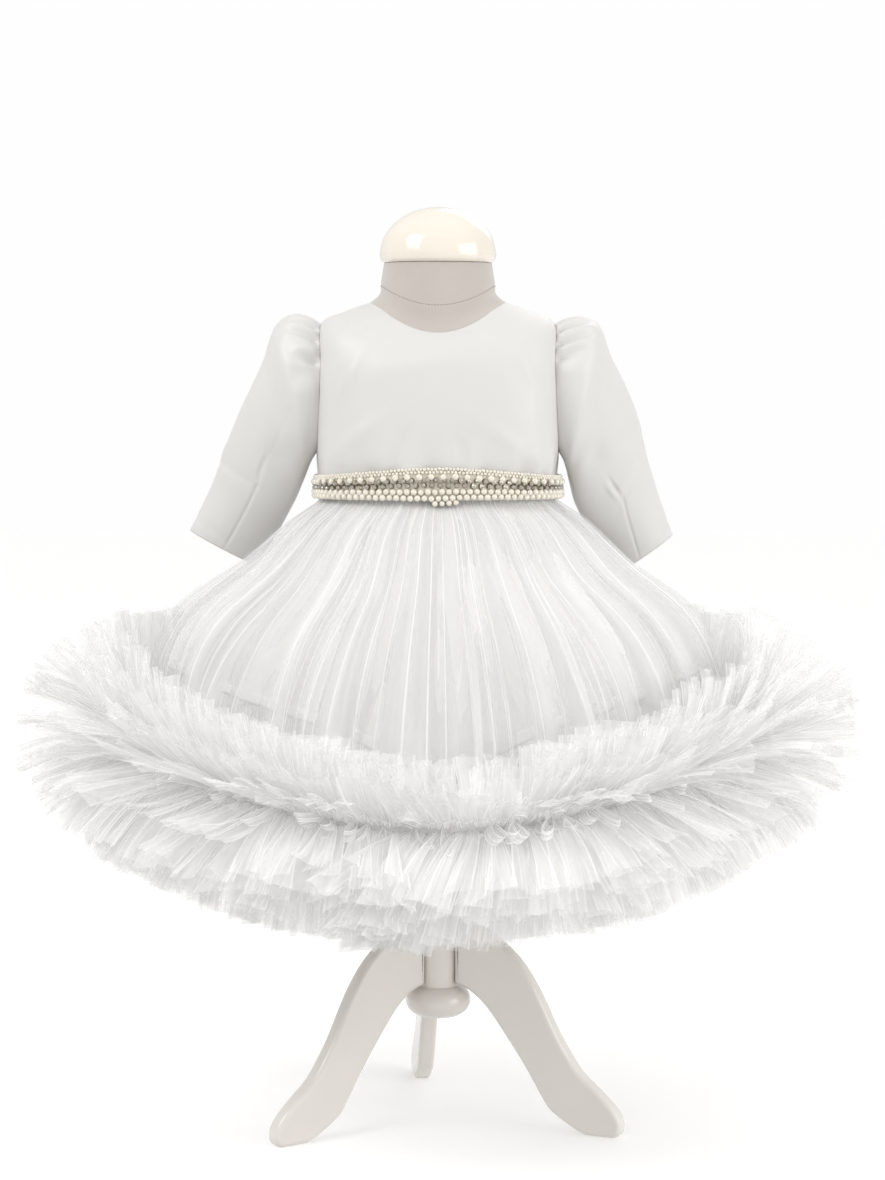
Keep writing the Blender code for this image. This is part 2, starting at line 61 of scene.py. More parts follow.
scene = bpy.context.scene
scene.view_settings.view_transform = "Standard"
scene.cycles.transparent_max_bounces = 24
scene.cycles.max_bounces = 6
scene.cycles.diffuse_bounces = 3
scene.cycles.adaptive_threshold = 0.04

camera_data = bpy.data.cameras.new("eye")
camera_data.lens = LENS
camera_data.sensor_fit = "VERTICAL"
camera_data.sensor_height = FRAME_HEIGHT
camera = bpy.data.objects.new("eye", camera_data)
camera.location = EYE
camera.rotation_euler = (math.pi / 2 - EYE_DIP, 0.0, 0.0)
scene.collection.objects.link(camera)
scene.camera = camera


def add_node(tree, kind, feeds=(), **settings):
    """A shader node with its settings. Each input is fed by a value or by another node's output."""
    node = tree.nodes.new("ShaderNode" + kind)
    for setting, value in settings.items():
        setattr(node, setting, value)
    for socket, source in dict(feeds).items():
        if isinstance(source, bpy.types.NodeSocket):
            tree.links.new(source, node.inputs[socket])
        else:
            node.inputs[socket].default_value = source
    return node


def ranged(tree, value, start, end, low, high):
    """An output that goes from low to high while a value goes from start to end."""
    return add_node(tree, "MapRange", {"Value": value, "From Min": start, "From Max": end,
                                                 "To Min": low, "To Max": high}).outputs["Result"]


world = bpy.data.worlds.new("white room")
scene.world = world
world.use_nodes = True
air = world.node_tree
air.nodes.clear()
direction = add_node(air, "TexCoord")
split = add_node(air, "SeparateXYZ", {0: direction.outputs["Generated"]})
rising = ranged(air, split.outputs["Z"], -1.0, 1.0, 0.0, 1.0)
glow = add_node(air, "MixRGB", {"Fac": rising, "Color1": LIGHT_BELOW, "Color2": LIGHT_ABOVE})
lit = add_node(air, "Background", {"Color": glow.outputs["Color"]})
seen = add_node(air, "Background", {"Color": WALLS})
path = add_node(air, "LightPath")
either = add_node(air, "MixShader", {0: path.outputs["Is Camera Ray"], 1: lit.outputs[0], 2: seen.outputs[0]})
add_node(air, "OutputWorld", {"Surface": either.outputs[0]})

Lamp = namedtuple("Lamp", "name x y z size watts")
for lamp in (Lamp("key", -1.65, -1.3, 2.1, 1.2, 25.0), Lamp("fill", 2.1, -1.1, 0.9, 1.6, 21.0),
             Lamp("back", 0.8, 1.9, 1.9, 1.4, 6.0)):
    light = bpy.data.lights.new(lamp.name, "AREA")
    light.energy = lamp.watts
    light.size = lamp.size
    holder = bpy.data.objects.new(lamp.name, light)
    holder.location = (lamp.x, lamp.y, lamp.z)
    holder.rotation_euler = (LAMPS_AIM - holder.location).to_track_quat("-Z", "Y").to_euler()
    scene.collection.objects.link(holder)


def new_material(name, values):
    """A Principled material with plain values on the shader's own sockets."""
    material = bpy.data.materials.new(name)
    material.use_nodes = True
    shader = material.node_tree.nodes["Principled BSDF"]
    for socket, value in values.items():
        shader.inputs[socket].default_value = value
    return material


def new_piece(name, shape, materials, slot=None):
    """Turn a finished bmesh into a smooth piece that rides with the gown."""
    mesh = bpy.data.meshes.new(name)
    shape.to_mesh(mesh)
    shape.free()
    for material in materials:
        mesh.materials.append(material)
    mesh.shade_smooth()
    piece = bpy.data.objects.new(name, mesh)
    scene.collection.objects.link(piece)
    if slot:
        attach(piece, "root")
    return piece


FLOOR_SIZE = 9.0
floor_shape = bmesh.new()
bmesh.ops.create_grid(floor_shape, x_segments=1, y_segments=1, size=FLOOR_SIZE)
floor_paint = new_material("floor", {
    "Base Color": (0.93, 0.93, 0.93, 1.0), "Roughness": 0.9, "Specular IOR Level": 0.1,
    "Emission Color": (1.0, 1.0, 1.0, 1.0), "Emission Strength": 0.20})
floor = new_piece("floor", floor_shape, [floor_paint])
floor.visible_diffuse = False

# ---- the form
# A limbless child's body and neck, foam under a fine beige jersey. A band is stitched round the top of
# the neck, and a glossy cream cap closes it.

Section = namedtuple("Section", "side_z front_z back_z half_width front_depth back_depth middle_y square")


def level_ring(height, half_width, front_depth, back_depth, square):
    """A section that is as high at the front and the back as at its sides."""
    return Section(height, height, height, half_width, front_depth, back_depth, 0.0, square)


BODICE = (
    level_ring(0.5120, 0.0945, 0.0650, 0.0610, 2.5),                       # waist seam
    level_ring(0.5260, 0.0948, 0.0662, 0.0616, 2.6),                       # ribs
    level_ring(0.5405, 0.0962, 0.0678, 0.0630, 2.8),                       # underarm
    Section(0.5740, 0.5720, 0.5740, 0.0966, 0.0690, 0.0650, 0.0, 2.9),     # chest
    Section(0.6110, 0.6030, 0.6110, 0.0958, 0.0665, 0.0660, 0.0, 2.8),     # yoke
    Section(0.6420, 0.6210, 0.6360, 0.0932, 0.0610, 0.0610, 0.0, 2.4),     # shoulder tip
    Section(0.6520, 0.6290, 0.6470, 0.0740, 0.0560, 0.0560, 0.0, 2.1),     # shoulder
    Section(0.6600, 0.6345, 0.6550, 0.0510, 0.0490, 0.0470, 0.0, 2.0),     # neckline
)
# The form under the gown is the bodice made smaller, with a neck above it and hips below.
JERSEY_INSET, JERSEY_DROP = 0.0044, 0.002
FORM = (
    level_ring(0.6900, 0.0430, 0.0410, 0.0410, 2.0),                       # under the cap
    Section(0.6760, 0.6640, 0.6740, 0.0452, 0.0435, 0.0420, 0.0, 2.0),
    Section(0.6640, 0.6400, 0.6600, 0.0476, 0.0458, 0.0440, 0.0, 2.0),     # foot of the neck
) + tuple(
    line._replace(half_width=line.half_width - JERSEY_INSET, front_depth=line.front_depth - JERSEY_INSET,
                  back_depth=line.back_depth - JERSEY_INSET, side_z=line.side_z - JERSEY_DROP,
                  front_z=line.front_z - JERSEY_DROP, back_z=line.back_z - JERSEY_DROP)
    for line in reversed(BODICE[:-1])
) + (
    level_ring(0.4750, 0.0870, 0.0590, 0.0550, 2.5),                       # hips
    level_ring(0.4400, 0.0790, 0.0540, 0.0510, 2.4),
    level_ring(0.4300, 0.0700, 0.0480, 0.0450, 2.3),                       # flat underside
)


def between(sections, row):
    """A section at a fractional row, on a smooth curve through the table's sections."""
    last = len(sections) - 1
    index = max(0, min(int(row), last - 1))
    part = row - index
    before = sections[max(index - 1, 0)]
    here, there = sections[index], sections[index + 1]
    after = sections[min(index + 2, last)]
    values = []
    for a, b, c, d in zip(before, here, there, after):
        curve = 2 * b + (c - a) * part + (2 * a - 5 * b + 4 * c - d) * part ** 2
        values.append(0.5 * (curve + (3 * b - a - 3 * c + d) * part ** 3))
    return type(here)(*values)


def round_body(section, angle):
    """The point of a section at an angle round the body, in radians. A square of 2 is an ellipse."""
    across, forward = math.cos(angle), math.sin(angle)
    depth = section.front_depth if forward > 0 else section.back_depth
    end_z = section.front_z if forward > 0 else section.back_z
    square = section.square
    reach = (abs(across) / section.half_width) ** square + (abs(forward) / depth) ** square
    reach = reach ** (-1.0 / square)
    share = min(1.0, abs(reach * forward) / depth) ** 2
    height = section.side_z + (end_z - section.side_z) * share
    return Vector((reach * across, section.middle_y - reach * forward, height))


def lay_sheet(shape, columns, rows, place, number=0):
    """Add a grid of cloth, put in place by a rule of (u, v). Its cut, as UV, starts at its number."""
    cut = shape.loops.layers.uv.get("cut") or shape.loops.layers.uv.new("cut")
    made = bmesh.ops.create_grid(shape, x_segments=columns, y_segments=rows, size=0.5)["verts"]
    for face in {face for point in made for face in point.link_faces}:
        for corner in face.loops:
            corner[cut].uv = (number + corner.vert.co.x + 0.5, corner.vert.co.y + 0.5)
    for point in made:
        point.co = place(point.co.x + 0.5, point.co.y + 0.5)
    return made


def cloth(name, columns, rows, layers, materials, slot, closed=False):
    """Sheets of cloth in one piece, one for each rule, with their sides joined where they close round."""
    shape = bmesh.new()
    for place in layers:
        made = lay_sheet(shape, columns, rows, place)
        if closed:
            bmesh.ops.remove_doubles(shape, verts=made, dist=0.00001)
    return new_piece(name, shape, materials, slot)


def close_ends(piece):
    """Fill the open rims of a tube, to make it a solid."""
    shape = bmesh.new()
    shape.from_mesh(piece.data)
    bmesh.ops.holes_fill(shape, edges=[edge for edge in shape.edges if edge.is_boundary])
    shape.to_mesh(piece.data)
    shape.free()


def thicken(piece, wall):
    """Give a sheet its wall, inwards."""
    solidify = piece.modifiers.new("wall", "SOLIDIFY")
    solidify.thickness = wall
    solidify.offset = -1.0


def combine(tree, operation, first, second=0.5, **settings):
    """The output of a Math node on two values or outputs."""
    node = add_node(tree, "Math", {0: first, 1: second}, operation=operation, **settings)
    return node.outputs[0]


def new_group(name, inputs, outputs):
    """An empty shader group: each input is its name, kind and first value. Gives its sockets too."""
    group = bpy.data.node_groups.new(name, "ShaderNodeTree")
    for socket, kind, value in inputs:
        group.interface.new_socket(name=socket, in_out="INPUT", socket_type=kind).default_value = value
    for socket, kind in outputs:
        group.interface.new_socket(name=socket, in_out="OUTPUT", socket_type=kind)
    return group, group.nodes.new("NodeGroupInput").outputs, group.nodes.new("NodeGroupOutput").inputs


NUMBER, COLOUR, VECTOR = "NodeSocketFloat", "NodeSocketColor", "NodeSocketVector"

# Slow drift of a colour, as dye, handling and age give it.
soft_tone, given, result = new_group(
    "soft tone", (("Colour", COLOUR, (0.8, 0.8, 0.8, 1.0)), ("Spread", NUMBER, 0.04),
                  ("Scale", NUMBER, 30.0)), (("Colour", COLOUR),))
place_at = add_node(soft_tone, "TexCoord").outputs["Object"]
cloud = add_node(soft_tone, "TexNoise", {"Vector": place_at, "Scale": given["Scale"], "Detail": 4.0})
swing = combine(soft_tone, "SUBTRACT", cloud.outputs["Fac"], 0.5)
level = combine(soft_tone, "ADD", combine(soft_tone, "MULTIPLY", swing, given["Spread"]), 1.0)
shade = add_node(soft_tone, "HueSaturation", {"Value": level, "Color": given["Colour"]})
soft_tone.links.new(shade.outputs["Color"], result["Colour"])

# Fine relief of threads or brush marks.
fine_relief, given, result = new_group(
    "fine relief", (("Scale", NUMBER, 900.0), ("Stretch", VECTOR, (1.0, 1.0, 1.0)),
                    ("Depth", NUMBER, 0.0002), ("Strength", NUMBER, 0.3)),
    (("Normal", VECTOR), ("Height", NUMBER)))
place_at = add_node(fine_relief, "TexCoord").outputs["Object"]
stretched = add_node(fine_relief, "VectorMath", {0: place_at, 1: given["Stretch"]},
                     operation="MULTIPLY")
grains = add_node(fine_relief, "TexNoise",
                  {"Vector": stretched.outputs[0], "Scale": given["Scale"], "Detail": 2.0}).outputs["Fac"]
bump = add_node(fine_relief, "Bump", {
    "Height": grains, "Distance": given["Depth"], "Strength": given["Strength"]})
fine_relief.links.new(bump.outputs["Normal"], result["Normal"])
fine_relief.links.new(grains, result["Height"])


def use_group(material, group, values, wires):
    """Place a shared group in a material, with its own values, and wire it to the shader."""
    tree = material.node_tree
    node = add_node(tree, "Group", values, node_tree=group)
    for output, target in wires.items():
        tree.links.new(node.outputs[output], tree.nodes["Principled BSDF"].inputs[target])
    return node


def toned_material(name, colour, spread, scale, values):
    """A material whose colour drifts a little over the surface."""
    material = new_material(name, values)
    use_group(material, soft_tone, {"Colour": (*colour, 1.0), "Spread": spread, "Scale": scale},
              {"Colour": "Base Color"})
    return material


def relief(material, scale, depth, strength, stretch=(1.0, 1.0, 1.0)):
    """Give a material its threads or brush marks, drawn out along an axis by a small stretch."""
    return use_group(material, fine_relief, {"Scale": scale, "Stretch": stretch, "Depth": depth,
                                             "Strength": strength}, {"Normal": "Normal"})


jersey = toned_material("jersey", (0.53, 0.485, 0.445), 0.12, 45.0, {
    "Roughness": 0.92, "Sheen Weight": 0.6, "Sheen Roughness": 0.6, "Specular IOR Level": 0.2})
relief(jersey, 1500.0, 0.0003, 0.6, stretch=(1.0, 1.0, 0.35))

NECK_SEAM_ROW = 1.34  # row of the seam round the neck
NECK_LAP, NECK_LAP_FADE = 0.0006, 4.0  # how far the turned edge below it stands out, and how soon that ends


def jersey_place(u, v):
    row = v * (len(FORM) - 1)
    point = round_body(between(FORM, row), math.tau * u)
    lap = NECK_LAP * math.exp(-NECK_LAP_FADE * (row - NECK_SEAM_ROW)) if row > NECK_SEAM_ROW else 0.0
    return point + Vector((point.x, point.y, 0.0)).normalized() * lap


body = cloth("form_jersey", 96, 150, [jersey_place], [jersey], "jersey", closed=True)
close_ends(body)
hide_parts("form_body")

thread = toned_material("thread", (0.30, 0.25, 0.21), 0.2, 300.0, {"Roughness": 0.7, "Sheen Weight": 0.2})
STITCHES = 120
STITCH_SIZE = (0.0013, 0.0007, 0.0006, 1.0)
STITCH_ROW = NECK_SEAM_ROW - 0.03
stitches = bmesh.new()
for number in range(STITCHES):
    angle = math.tau * number / STITCHES
    spot = jersey_place(number / STITCHES, STITCH_ROW / (len(FORM) - 1))
    along = Vector((-math.sin(angle), -math.cos(angle), 0.0))
    lie = Matrix.Translation(spot) @ along.to_track_quat("X", "Z").to_matrix().to_4x4()
    bmesh.ops.create_cube(stitches, size=1.0, matrix=lie @ Matrix.Diagonal(STITCH_SIZE))
new_piece("form_neck_stitches", stitches, [thread], "jersey")

cap_gloss = toned_material("cap gloss", (0.85, 0.79, 0.69), 0.10, 22.0, {
    "Roughness": 0.16, "Coat Weight": 0.7, "Coat Roughness": 0.06})
CAP = (
    level_ring(0.7350, 0.0004, 0.0004, 0.0004, 2.0),     # crown
    level_ring(0.7320, 0.0170, 0.0165, 0.0165, 2.0),
    level_ring(0.7240, 0.0320, 0.0310, 0.0310, 2.0),
    level_ring(0.7120, 0.0425, 0.0410, 0.0410, 2.0),
    level_ring(0.6990, 0.0462, 0.0446, 0.0446, 2.0),
    level_ring(0.6930, 0.0455, 0.0440, 0.0440, 2.0),     # overhanging rim
    level_ring(0.6904, 0.0430, 0.0415, 0.0415, 2.0),
)


def cap_place(u, v):
    return round_body(between(CAP, v * (len(CAP) - 1)), math.tau * u)


cap = cloth("form_cap_gloss", 64, 48, [cap_place], [cap_gloss], "cap", closed=True)
close_ends(cap)
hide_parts("form_cap")

# ---- bodice
# Duchess satin, lined: one front and two back panels, with a round neck and set-in sleeves. The waist is
# caught in the belt, which puckers the satin just above it.

SATIN_WALL = 0.0015
UNDERARM_ROW, SHOULDER_ROW = 2, 5
ARMHOLE_MIDDLE = (UNDERARM_ROW + SHOULDER_ROW) / 2
ARMHOLE_HALF = (SHOULDER_ROW - UNDERARM_ROW) / 2
ARMHOLE_SPREAD = math.radians(17.5)
SEAM_HALF = 0.0001

satin = toned_material("satin", (0.71, 0.70, 0.682), 0.05, 25.0, {
    "Sheen Weight": 0.25, "Sheen Roughness": 0.35, "Specular IOR Level": 0.55})
threads = relief(satin, 700.0, 0.0002, 0.25, stretch=(1.0, 1.0, 3.0))
polish = ranged(satin.node_tree, threads.outputs["Height"], 0.0, 1.0, 0.36, 0.50)
satin.node_tree.links.new(polish, satin.node_tree.nodes["Principled BSDF"].inputs["Roughness"])

# A crease of a panel: where its middle is, its slant in degrees, how long and wide it is, and its lift, or
# its depth where that is negative.
Crease = namedtuple("Crease", "x z slant length width depth")
FRONT_CREASES = (
    Crease(-0.070, 0.600, 62.0, 0.026, 0.0050, 0.0019),
    Crease(-0.082, 0.572, 80.0, 0.030, 0.0045, -0.0016),
    Crease(-0.060, 0.556, 38.0, 0.022, 0.0060, 0.0016),
    Crease(0.074, 0.598, -60.0, 0.028, 0.0050, 0.0019),
    Crease(0.083, 0.566, -78.0, 0.026, 0.0045, -0.0016),
    Crease(0.052, 0.552, -35.0, 0.024, 0.0065, 0.0014),
    Crease(-0.030, 0.545, 72.0, 0.016, 0.0050, -0.0013),
    Crease(0.018, 0.543, -74.0, 0.015, 0.0055, -0.0013),
    Crease(-0.005, 0.612, 8.0, 0.040, 0.0080, 0.0011),
)
BELT_TOP, PUCKER_TOP = 0.527, 0.552  # the satin is puckered between these heights
PUCKER_DEPTH = 0.0038
SLACK = 0.0006


def crease_depth(creases, point):
    """How far the creases lift the cloth at a point seen from the front."""
    lift = 0.0
    for crease in creases:
        slant = math.radians(crease.slant)
        dx, dz = point.x - crease.x, point.z - crease.z
        along = (dx * math.cos(slant) + dz * math.sin(slant)) / crease.length
        over = (dz * math.cos(slant) - dx * math.sin(slant)) / crease.width
        lift += crease.depth * math.exp(-along * along - over * over)
    return lift


def side_edge(row):
    """How far a panel's edge lies from the side line at a row, in radians: a seam or the armhole."""
    rise = (row - ARMHOLE_MIDDLE) / ARMHOLE_HALF
    seam = SEAM_HALF / between(BODICE, row).half_width
    if abs(rise) >= 1.0:
        return seam
    return max(seam, ARMHOLE_SPREAD * math.sqrt(1.0 - rise * rise))


def bodice_rule(start, end, start_side, end_side, creases):
    """The rule of a panel between two angles, whose edges are a side or the straight centre back."""
    def place(u, v):
        row = (len(BODICE) - 1) * (1.0 - v)
        section = between(BODICE, row)
        seam = SEAM_HALF / section.back_depth
        first = start + (side_edge(row) if start_side else seam)
        last = end - (side_edge(row) if end_side else seam)
        angle = first + (last - first) * u
        point = round_body(section, angle)
        outward = Vector((point.x, point.y, 0.0)).normalized()
        edge = min(1.0, 6 * u, 6 * (1 - u)) * min(1.0, 8 * v)
        low = max(0.0, (PUCKER_TOP - point.z) / (PUCKER_TOP - BELT_TOP))
        waves = noise.noise(Vector((point.x * 80, point.y * 80, point.z * 9 + 3)))
        pucker = PUCKER_DEPTH * min(low, 1.0) ** 1.5 * waves * (0.25 if low > 1.2 else 1.0)
        slack = SLACK * noise.noise(point * 28)
        return point + outward * ((crease_depth(creases, point) + slack) * edge + pucker)
    return place


BACK_CREASES = tuple(crease._replace(depth=crease.depth * 0.8, slant=crease.slant * 0.9)
                     for crease in FRONT_CREASES[:6])
# A panel: its solid, how finely it is drawn, where it starts and ends round the body and whether that is at a
# side, its creases, and the flat size that it is cut to.
Panel = namedtuple("Panel", "node columns start end start_side end_side creases flat")
for panel in (
    Panel("bodice_front", 110, 0.0, math.pi, True, True, FRONT_CREASES, (0.27, 0.16)),
    Panel("bodice_back_left", 56, math.pi, 1.5 * math.pi, True, False, BACK_CREASES, (0.135, 0.16)),
    Panel("bodice_back_right", 56, 1.5 * math.pi, math.tau, False, True, BACK_CREASES, (0.135, 0.16)),
):
    rule = bodice_rule(panel.start, panel.end, panel.start_side, panel.end_side, panel.creases)
    piece = cloth(panel.node + "_satin", panel.columns, 90, [rule], [satin], "satin")
    thicken(piece, SATIN_WALL)
    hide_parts(panel.node)

# ---- sleeves
# Long sleeves of the same satin. The head is gathered into the armhole, a dart shapes the elbow, and the
# open cuff has a turned and stitched hem.

# A section of a sleeve: its outer and inner edge seen from the front, how far back it is, and half its depth.
SleeveSection = namedtuple("SleeveSection", "outer_x outer_z inner_x inner_z middle_y half_depth")
SLEEVE_LEFT = tuple(SleeveSection(*line) for line in (
    (0.1110, 0.6520, 0.0990, 0.5370, 0.000, 0.0350),    # gathered head
    (0.1300, 0.6310, 0.1030, 0.5290, 0.005, 0.0345),
    (0.1470, 0.5990, 0.1080, 0.5170, 0.014, 0.0320),
    (0.1610, 0.5700, 0.1140, 0.5040, 0.026, 0.0295),
    (0.1730, 0.5430, 0.1220, 0.4880, 0.040, 0.0270),    # elbow
    (0.1860, 0.5110, 0.1345, 0.4680, 0.056, 0.0240),
    (0.2050, 0.4740, 0.1500, 0.4450, 0.072, 0.0210),    # cuff
))
SLEEVE_RIGHT = tuple(SleeveSection(*line) for line in (
    (0.1110, 0.6480, 0.0990, 0.5370, 0.000, 0.0350),    # gathered head
    (0.1290, 0.6320, 0.1025, 0.5270, 0.005, 0.0345),
    (0.1450, 0.6040, 0.1060, 0.5140, 0.015, 0.0320),
    (0.1590, 0.5750, 0.1110, 0.4980, 0.028, 0.0295),
    (0.1680, 0.5450, 0.1200, 0.4820, 0.043, 0.0270),    # elbow
    (0.1780, 0.5120, 0.1345, 0.4640, 0.059, 0.0240),
    (0.1940, 0.4700, 0.1500, 0.4390, 0.076, 0.0210),    # cuff
))
ROOT_SHARE = 0.10  # share of a sleeve's length in which it swells from the armhole

# A fold of a sleeve: its turn round from the outer edge (plus is the front), its share down the sleeve,
# the slant of its run in turn per share, its half length and half width, and its lift.
Fold = namedtuple("Fold", "turn share slant length width lift")
LEFT_FOLDS = tuple(Fold(*line) for line in (
    (7, 0.02, -60, 0.045, 5, -0.003), (17, 0.03, -110, 0.045, 5, 0.0028),
    (27, 0.02, -150, 0.045, 4, -0.004), (35, 0.04, -180, 0.055, 5.5, 0.003),
    (44, 0.02, -180, 0.06, 4, -0.0046), (52, 0.09, -60, 0.04, 8, -0.002),
    (59, 0.03, -100, 0.045, 5, 0.003), (68, 0.02, -100, 0.045, 3.8, -0.0046),
    (77, 0.07, -60, 0.045, 7, -0.0018), (92, 0.05, -40, 0.08, 8, 0.0014), (-6, 0.04, 40, 0.06, 5, 0.0022),
    (-18, 0.02, 90, 0.06, 5.5, -0.003), (-31, 0.04, 120, 0.06, 6, 0.0026),
    (-45, 0.03, 120, 0.06, 5.5, -0.003), (-61, 0.05, 90, 0.07, 7, 0.0022),
    (-78, 0.05, 60, 0.08, 8, -0.002), (70, 0.36, 60, 0.16, 18, 0.0013),
    (110, 0.4, -120, 0.11, 16, -0.0018), (45, 0.715, -1350, 0.034, 26, -0.0015),
    (20, 0.66, -300, 0.05, 20, 0.0012), (91, 0.56, 0, 0.07, 3.4, -0.0013),
    (35, 0.86, -40, 0.07, 20, -0.0012), (-80, 0.55, 80, 0.13, 18, -0.002),
    (-120, 0.42, -90, 0.12, 16, 0.0018),
))
RIGHT_FOLDS = tuple(Fold(*line) for line in (
    (7, 0.02, -80, 0.045, 5, -0.003), (18, 0.03, -200, 0.05, 5, 0.003),
    (28, 0.02, -200, 0.055, 4, -0.0044), (37, 0.04, -140, 0.08, 5.5, 0.0032),
    (47, 0.02, -140, 0.085, 4, -0.005), (54, 0.04, -140, 0.06, 5, 0.0028),
    (62, 0.02, -140, 0.065, 4, -0.0044), (74, 0.05, -90, 0.07, 8, 0.0016),
    (-6, 0.04, 30, 0.06, 5, 0.0024), (-19, 0.02, 90, 0.06, 5.5, -0.003),
    (-34, 0.04, 110, 0.07, 6.5, 0.0024), (-52, 0.03, 110, 0.07, 6, -0.0028),
    (-72, 0.06, 60, 0.08, 8, 0.0018), (66, 0.33, 50, 0.15, 16, 0.0016),
    (104, 0.44, -120, 0.09, 16, -0.0024), (122, 0.36, -120, 0.06, 13, 0.0016),
    (47, 0.688, 630, 0.065, 15, -0.0017), (94.5, 0.667, -51, 0.06, 2.8, -0.0024),
    (100, 0.667, -51, 0.06, 3.5, 0.0012), (30, 0.54, -200, 0.09, 20, 0.0015),
    (-76, 0.55, 70, 0.12, 18, -0.002), (-118, 0.4, -80, 0.12, 16, 0.0018),
))
HEAD_PUFF = 0.0070
HEAD_CROWDING = 1.35  # rows of the cloth lie closer together near the head
HEM_SHARE, HEM_HALF = 0.945, 0.008
HEM_GROOVE = 0.0006
SLEEVE_SLACK = 0.0009

# The seam below the elbow dart: where it starts down the sleeve, its turn there, how that drifts towards the
# cuff, and the share of its depth that a faint crease above it has.
Dart = namedtuple("Dart", "start turn drift above")
LEFT_DART = Dart(0.66, 95.0, -6.0, 0.30)
RIGHT_DART = Dart(0.755, 90.0, 71.0, 0.0)
SEAM_DEPTH = 0.0009
SEAM_WIDTH = 2.3  # degrees


def wrapped(degrees):
    """The same angle between -180 and 180 degrees."""
    return (degrees + 180.0) % 360.0 - 180.0


def sleeve_rule(side, table, folds, dart):
    """The rule of a sleeve, round it by u from its outer edge and down it by v from the armhole."""
    def place(u, v):
        turn = math.tau * u
        degrees = wrapped(360.0 * u)
        share = v ** HEAD_CROWDING
        section = between(table, share * (len(table) - 1))
        top = Vector((side * section.outer_x, section.middle_y, section.outer_z))
        foot = Vector((side * section.inner_x, section.middle_y, section.inner_z))
        middle, half = (top + foot) / 2, (top - foot) / 2
        point = middle + half * math.cos(turn) - Vector((0, section.half_depth * math.sin(turn), 0))
        lift = 0.0
        for fold in folds:
            along = (share - fold.share) / fold.length
            run = fold.turn + fold.slant * (share - fold.share)
            over = wrapped(degrees - run) / fold.width
            lift += fold.lift * math.exp(-along * along - over * over)
        past = share - dart.start
        gap = wrapped(degrees - dart.turn - dart.drift * max(0.0, past)) / SEAM_WIDTH
        lift -= SEAM_DEPTH * math.exp(-gap * gap) * (1.0 if past > 0 else dart.above * min(1.0, share * 4))
        lift -= HEM_GROOVE * math.exp(-((share - HEM_SHARE) / HEM_HALF) ** 2)
        lift += SLEEVE_SLACK * noise.noise(point * 40) * math.sin(math.pi * min(1.0, share * 1.02))
        swell = min(1.0, share / (2.8 * ROOT_SHARE))
        lift += HEAD_PUFF * math.sin(math.pi * swell) ** 2 * math.cos(turn / 2) ** 2
        lift *= min(1.0, (1.02 - share) * 12) * min(1.0, share / 0.012)
        outward = (point - middle).normalized()
        if share < ROOT_SHARE:
            row = ARMHOLE_MIDDLE + ARMHOLE_HALF * 1.005 * math.cos(turn)
            root = round_body(between(BODICE, row), ARMHOLE_SPREAD * 1.02 * math.sin(turn))
            root.x *= side
            point = root.lerp(point, 1.0 - (1.0 - share / ROOT_SHARE) ** 2.4)
        return point + outward * lift
    return place


for side, label, table, folds, dart in ((-1, "left", SLEEVE_LEFT, LEFT_FOLDS, LEFT_DART),
                                        (1, "right", SLEEVE_RIGHT, RIGHT_FOLDS, RIGHT_DART)):
    rule = sleeve_rule(side, table, folds, dart)
    piece = cloth("sleeve_" + label + "_satin", 200, 120, [rule], [satin], "satin", closed=True)
    if side < 0:
        piece.data.flip_normals()
    thicken(piece, SATIN_WALL)
    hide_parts("sleeve_" + label)

# ---- belt
# A cream band sewn over the waist seam, covered with beads: a rope of small pearls along the top, spaced
# large pearls, a zigzag of dark gold set stones, and clustered pearls with a scalloped lower edge.

BELT_BOTTOM_Z = 0.5035
BELT_SIDE_HEIGHT, BELT_FRONT_HEIGHT = 0.018, 0.026
BELT_OUT = 0.0014  # how far it stands off the waist
BELT_WALL = 0.0012
BAND_TOP, BAND_HEIGHT = 0.97, 0.94  # shares of the belt's height


def belt_place(angle, share, out):
    """A point of the belt at an angle, a share of its height, and a distance out from its inner face."""
    front = max(0.0, math.sin(angle)) ** 2
    height = BELT_SIDE_HEIGHT + (BELT_FRONT_HEIGHT - BELT_SIDE_HEIGHT) * front
    ribs = round_body(BODICE[1], angle)
    outward = Vector((ribs.x, ribs.y, 0.0)).normalized()
    return Vector((ribs.x, ribs.y, BELT_BOTTOM_Z + height * share)) + outward * (BELT_OUT + out)


def band_place(u, v):
    return belt_place(math.tau * u, BAND_TOP - BAND_HEIGHT * v, BELT_WALL)


band_cloth = toned_material("belt band", (0.78, 0.74, 0.64), 0.1, 120.0, {
    "Roughness": 0.6, "Sheen Weight": 0.3})
band = cloth("belt_band", 200, 6, [band_place], [band_cloth], "pearl", closed=True)
thicken(band, BELT_WALL)

pearl = toned_material("pearl", (0.80, 0.755, 0.65), 0.22, 260.0, {
    "Roughness": 0.18, "Coat Weight": 1.0, "Coat Roughness": 0.08, "Specular IOR Level": 0.8})
stone_metal = toned_material("stone setting", (0.34, 0.30, 0.22), 0.5, 400.0, {
    "Metallic": 0.9, "Roughness": 0.30})
stone_glass = toned_material("stone", (0.36, 0.345, 0.31), 1.2, 900.0, {
    "Roughness": 0.05, "Specular IOR Level": 1.0, "Coat Weight": 1.0})

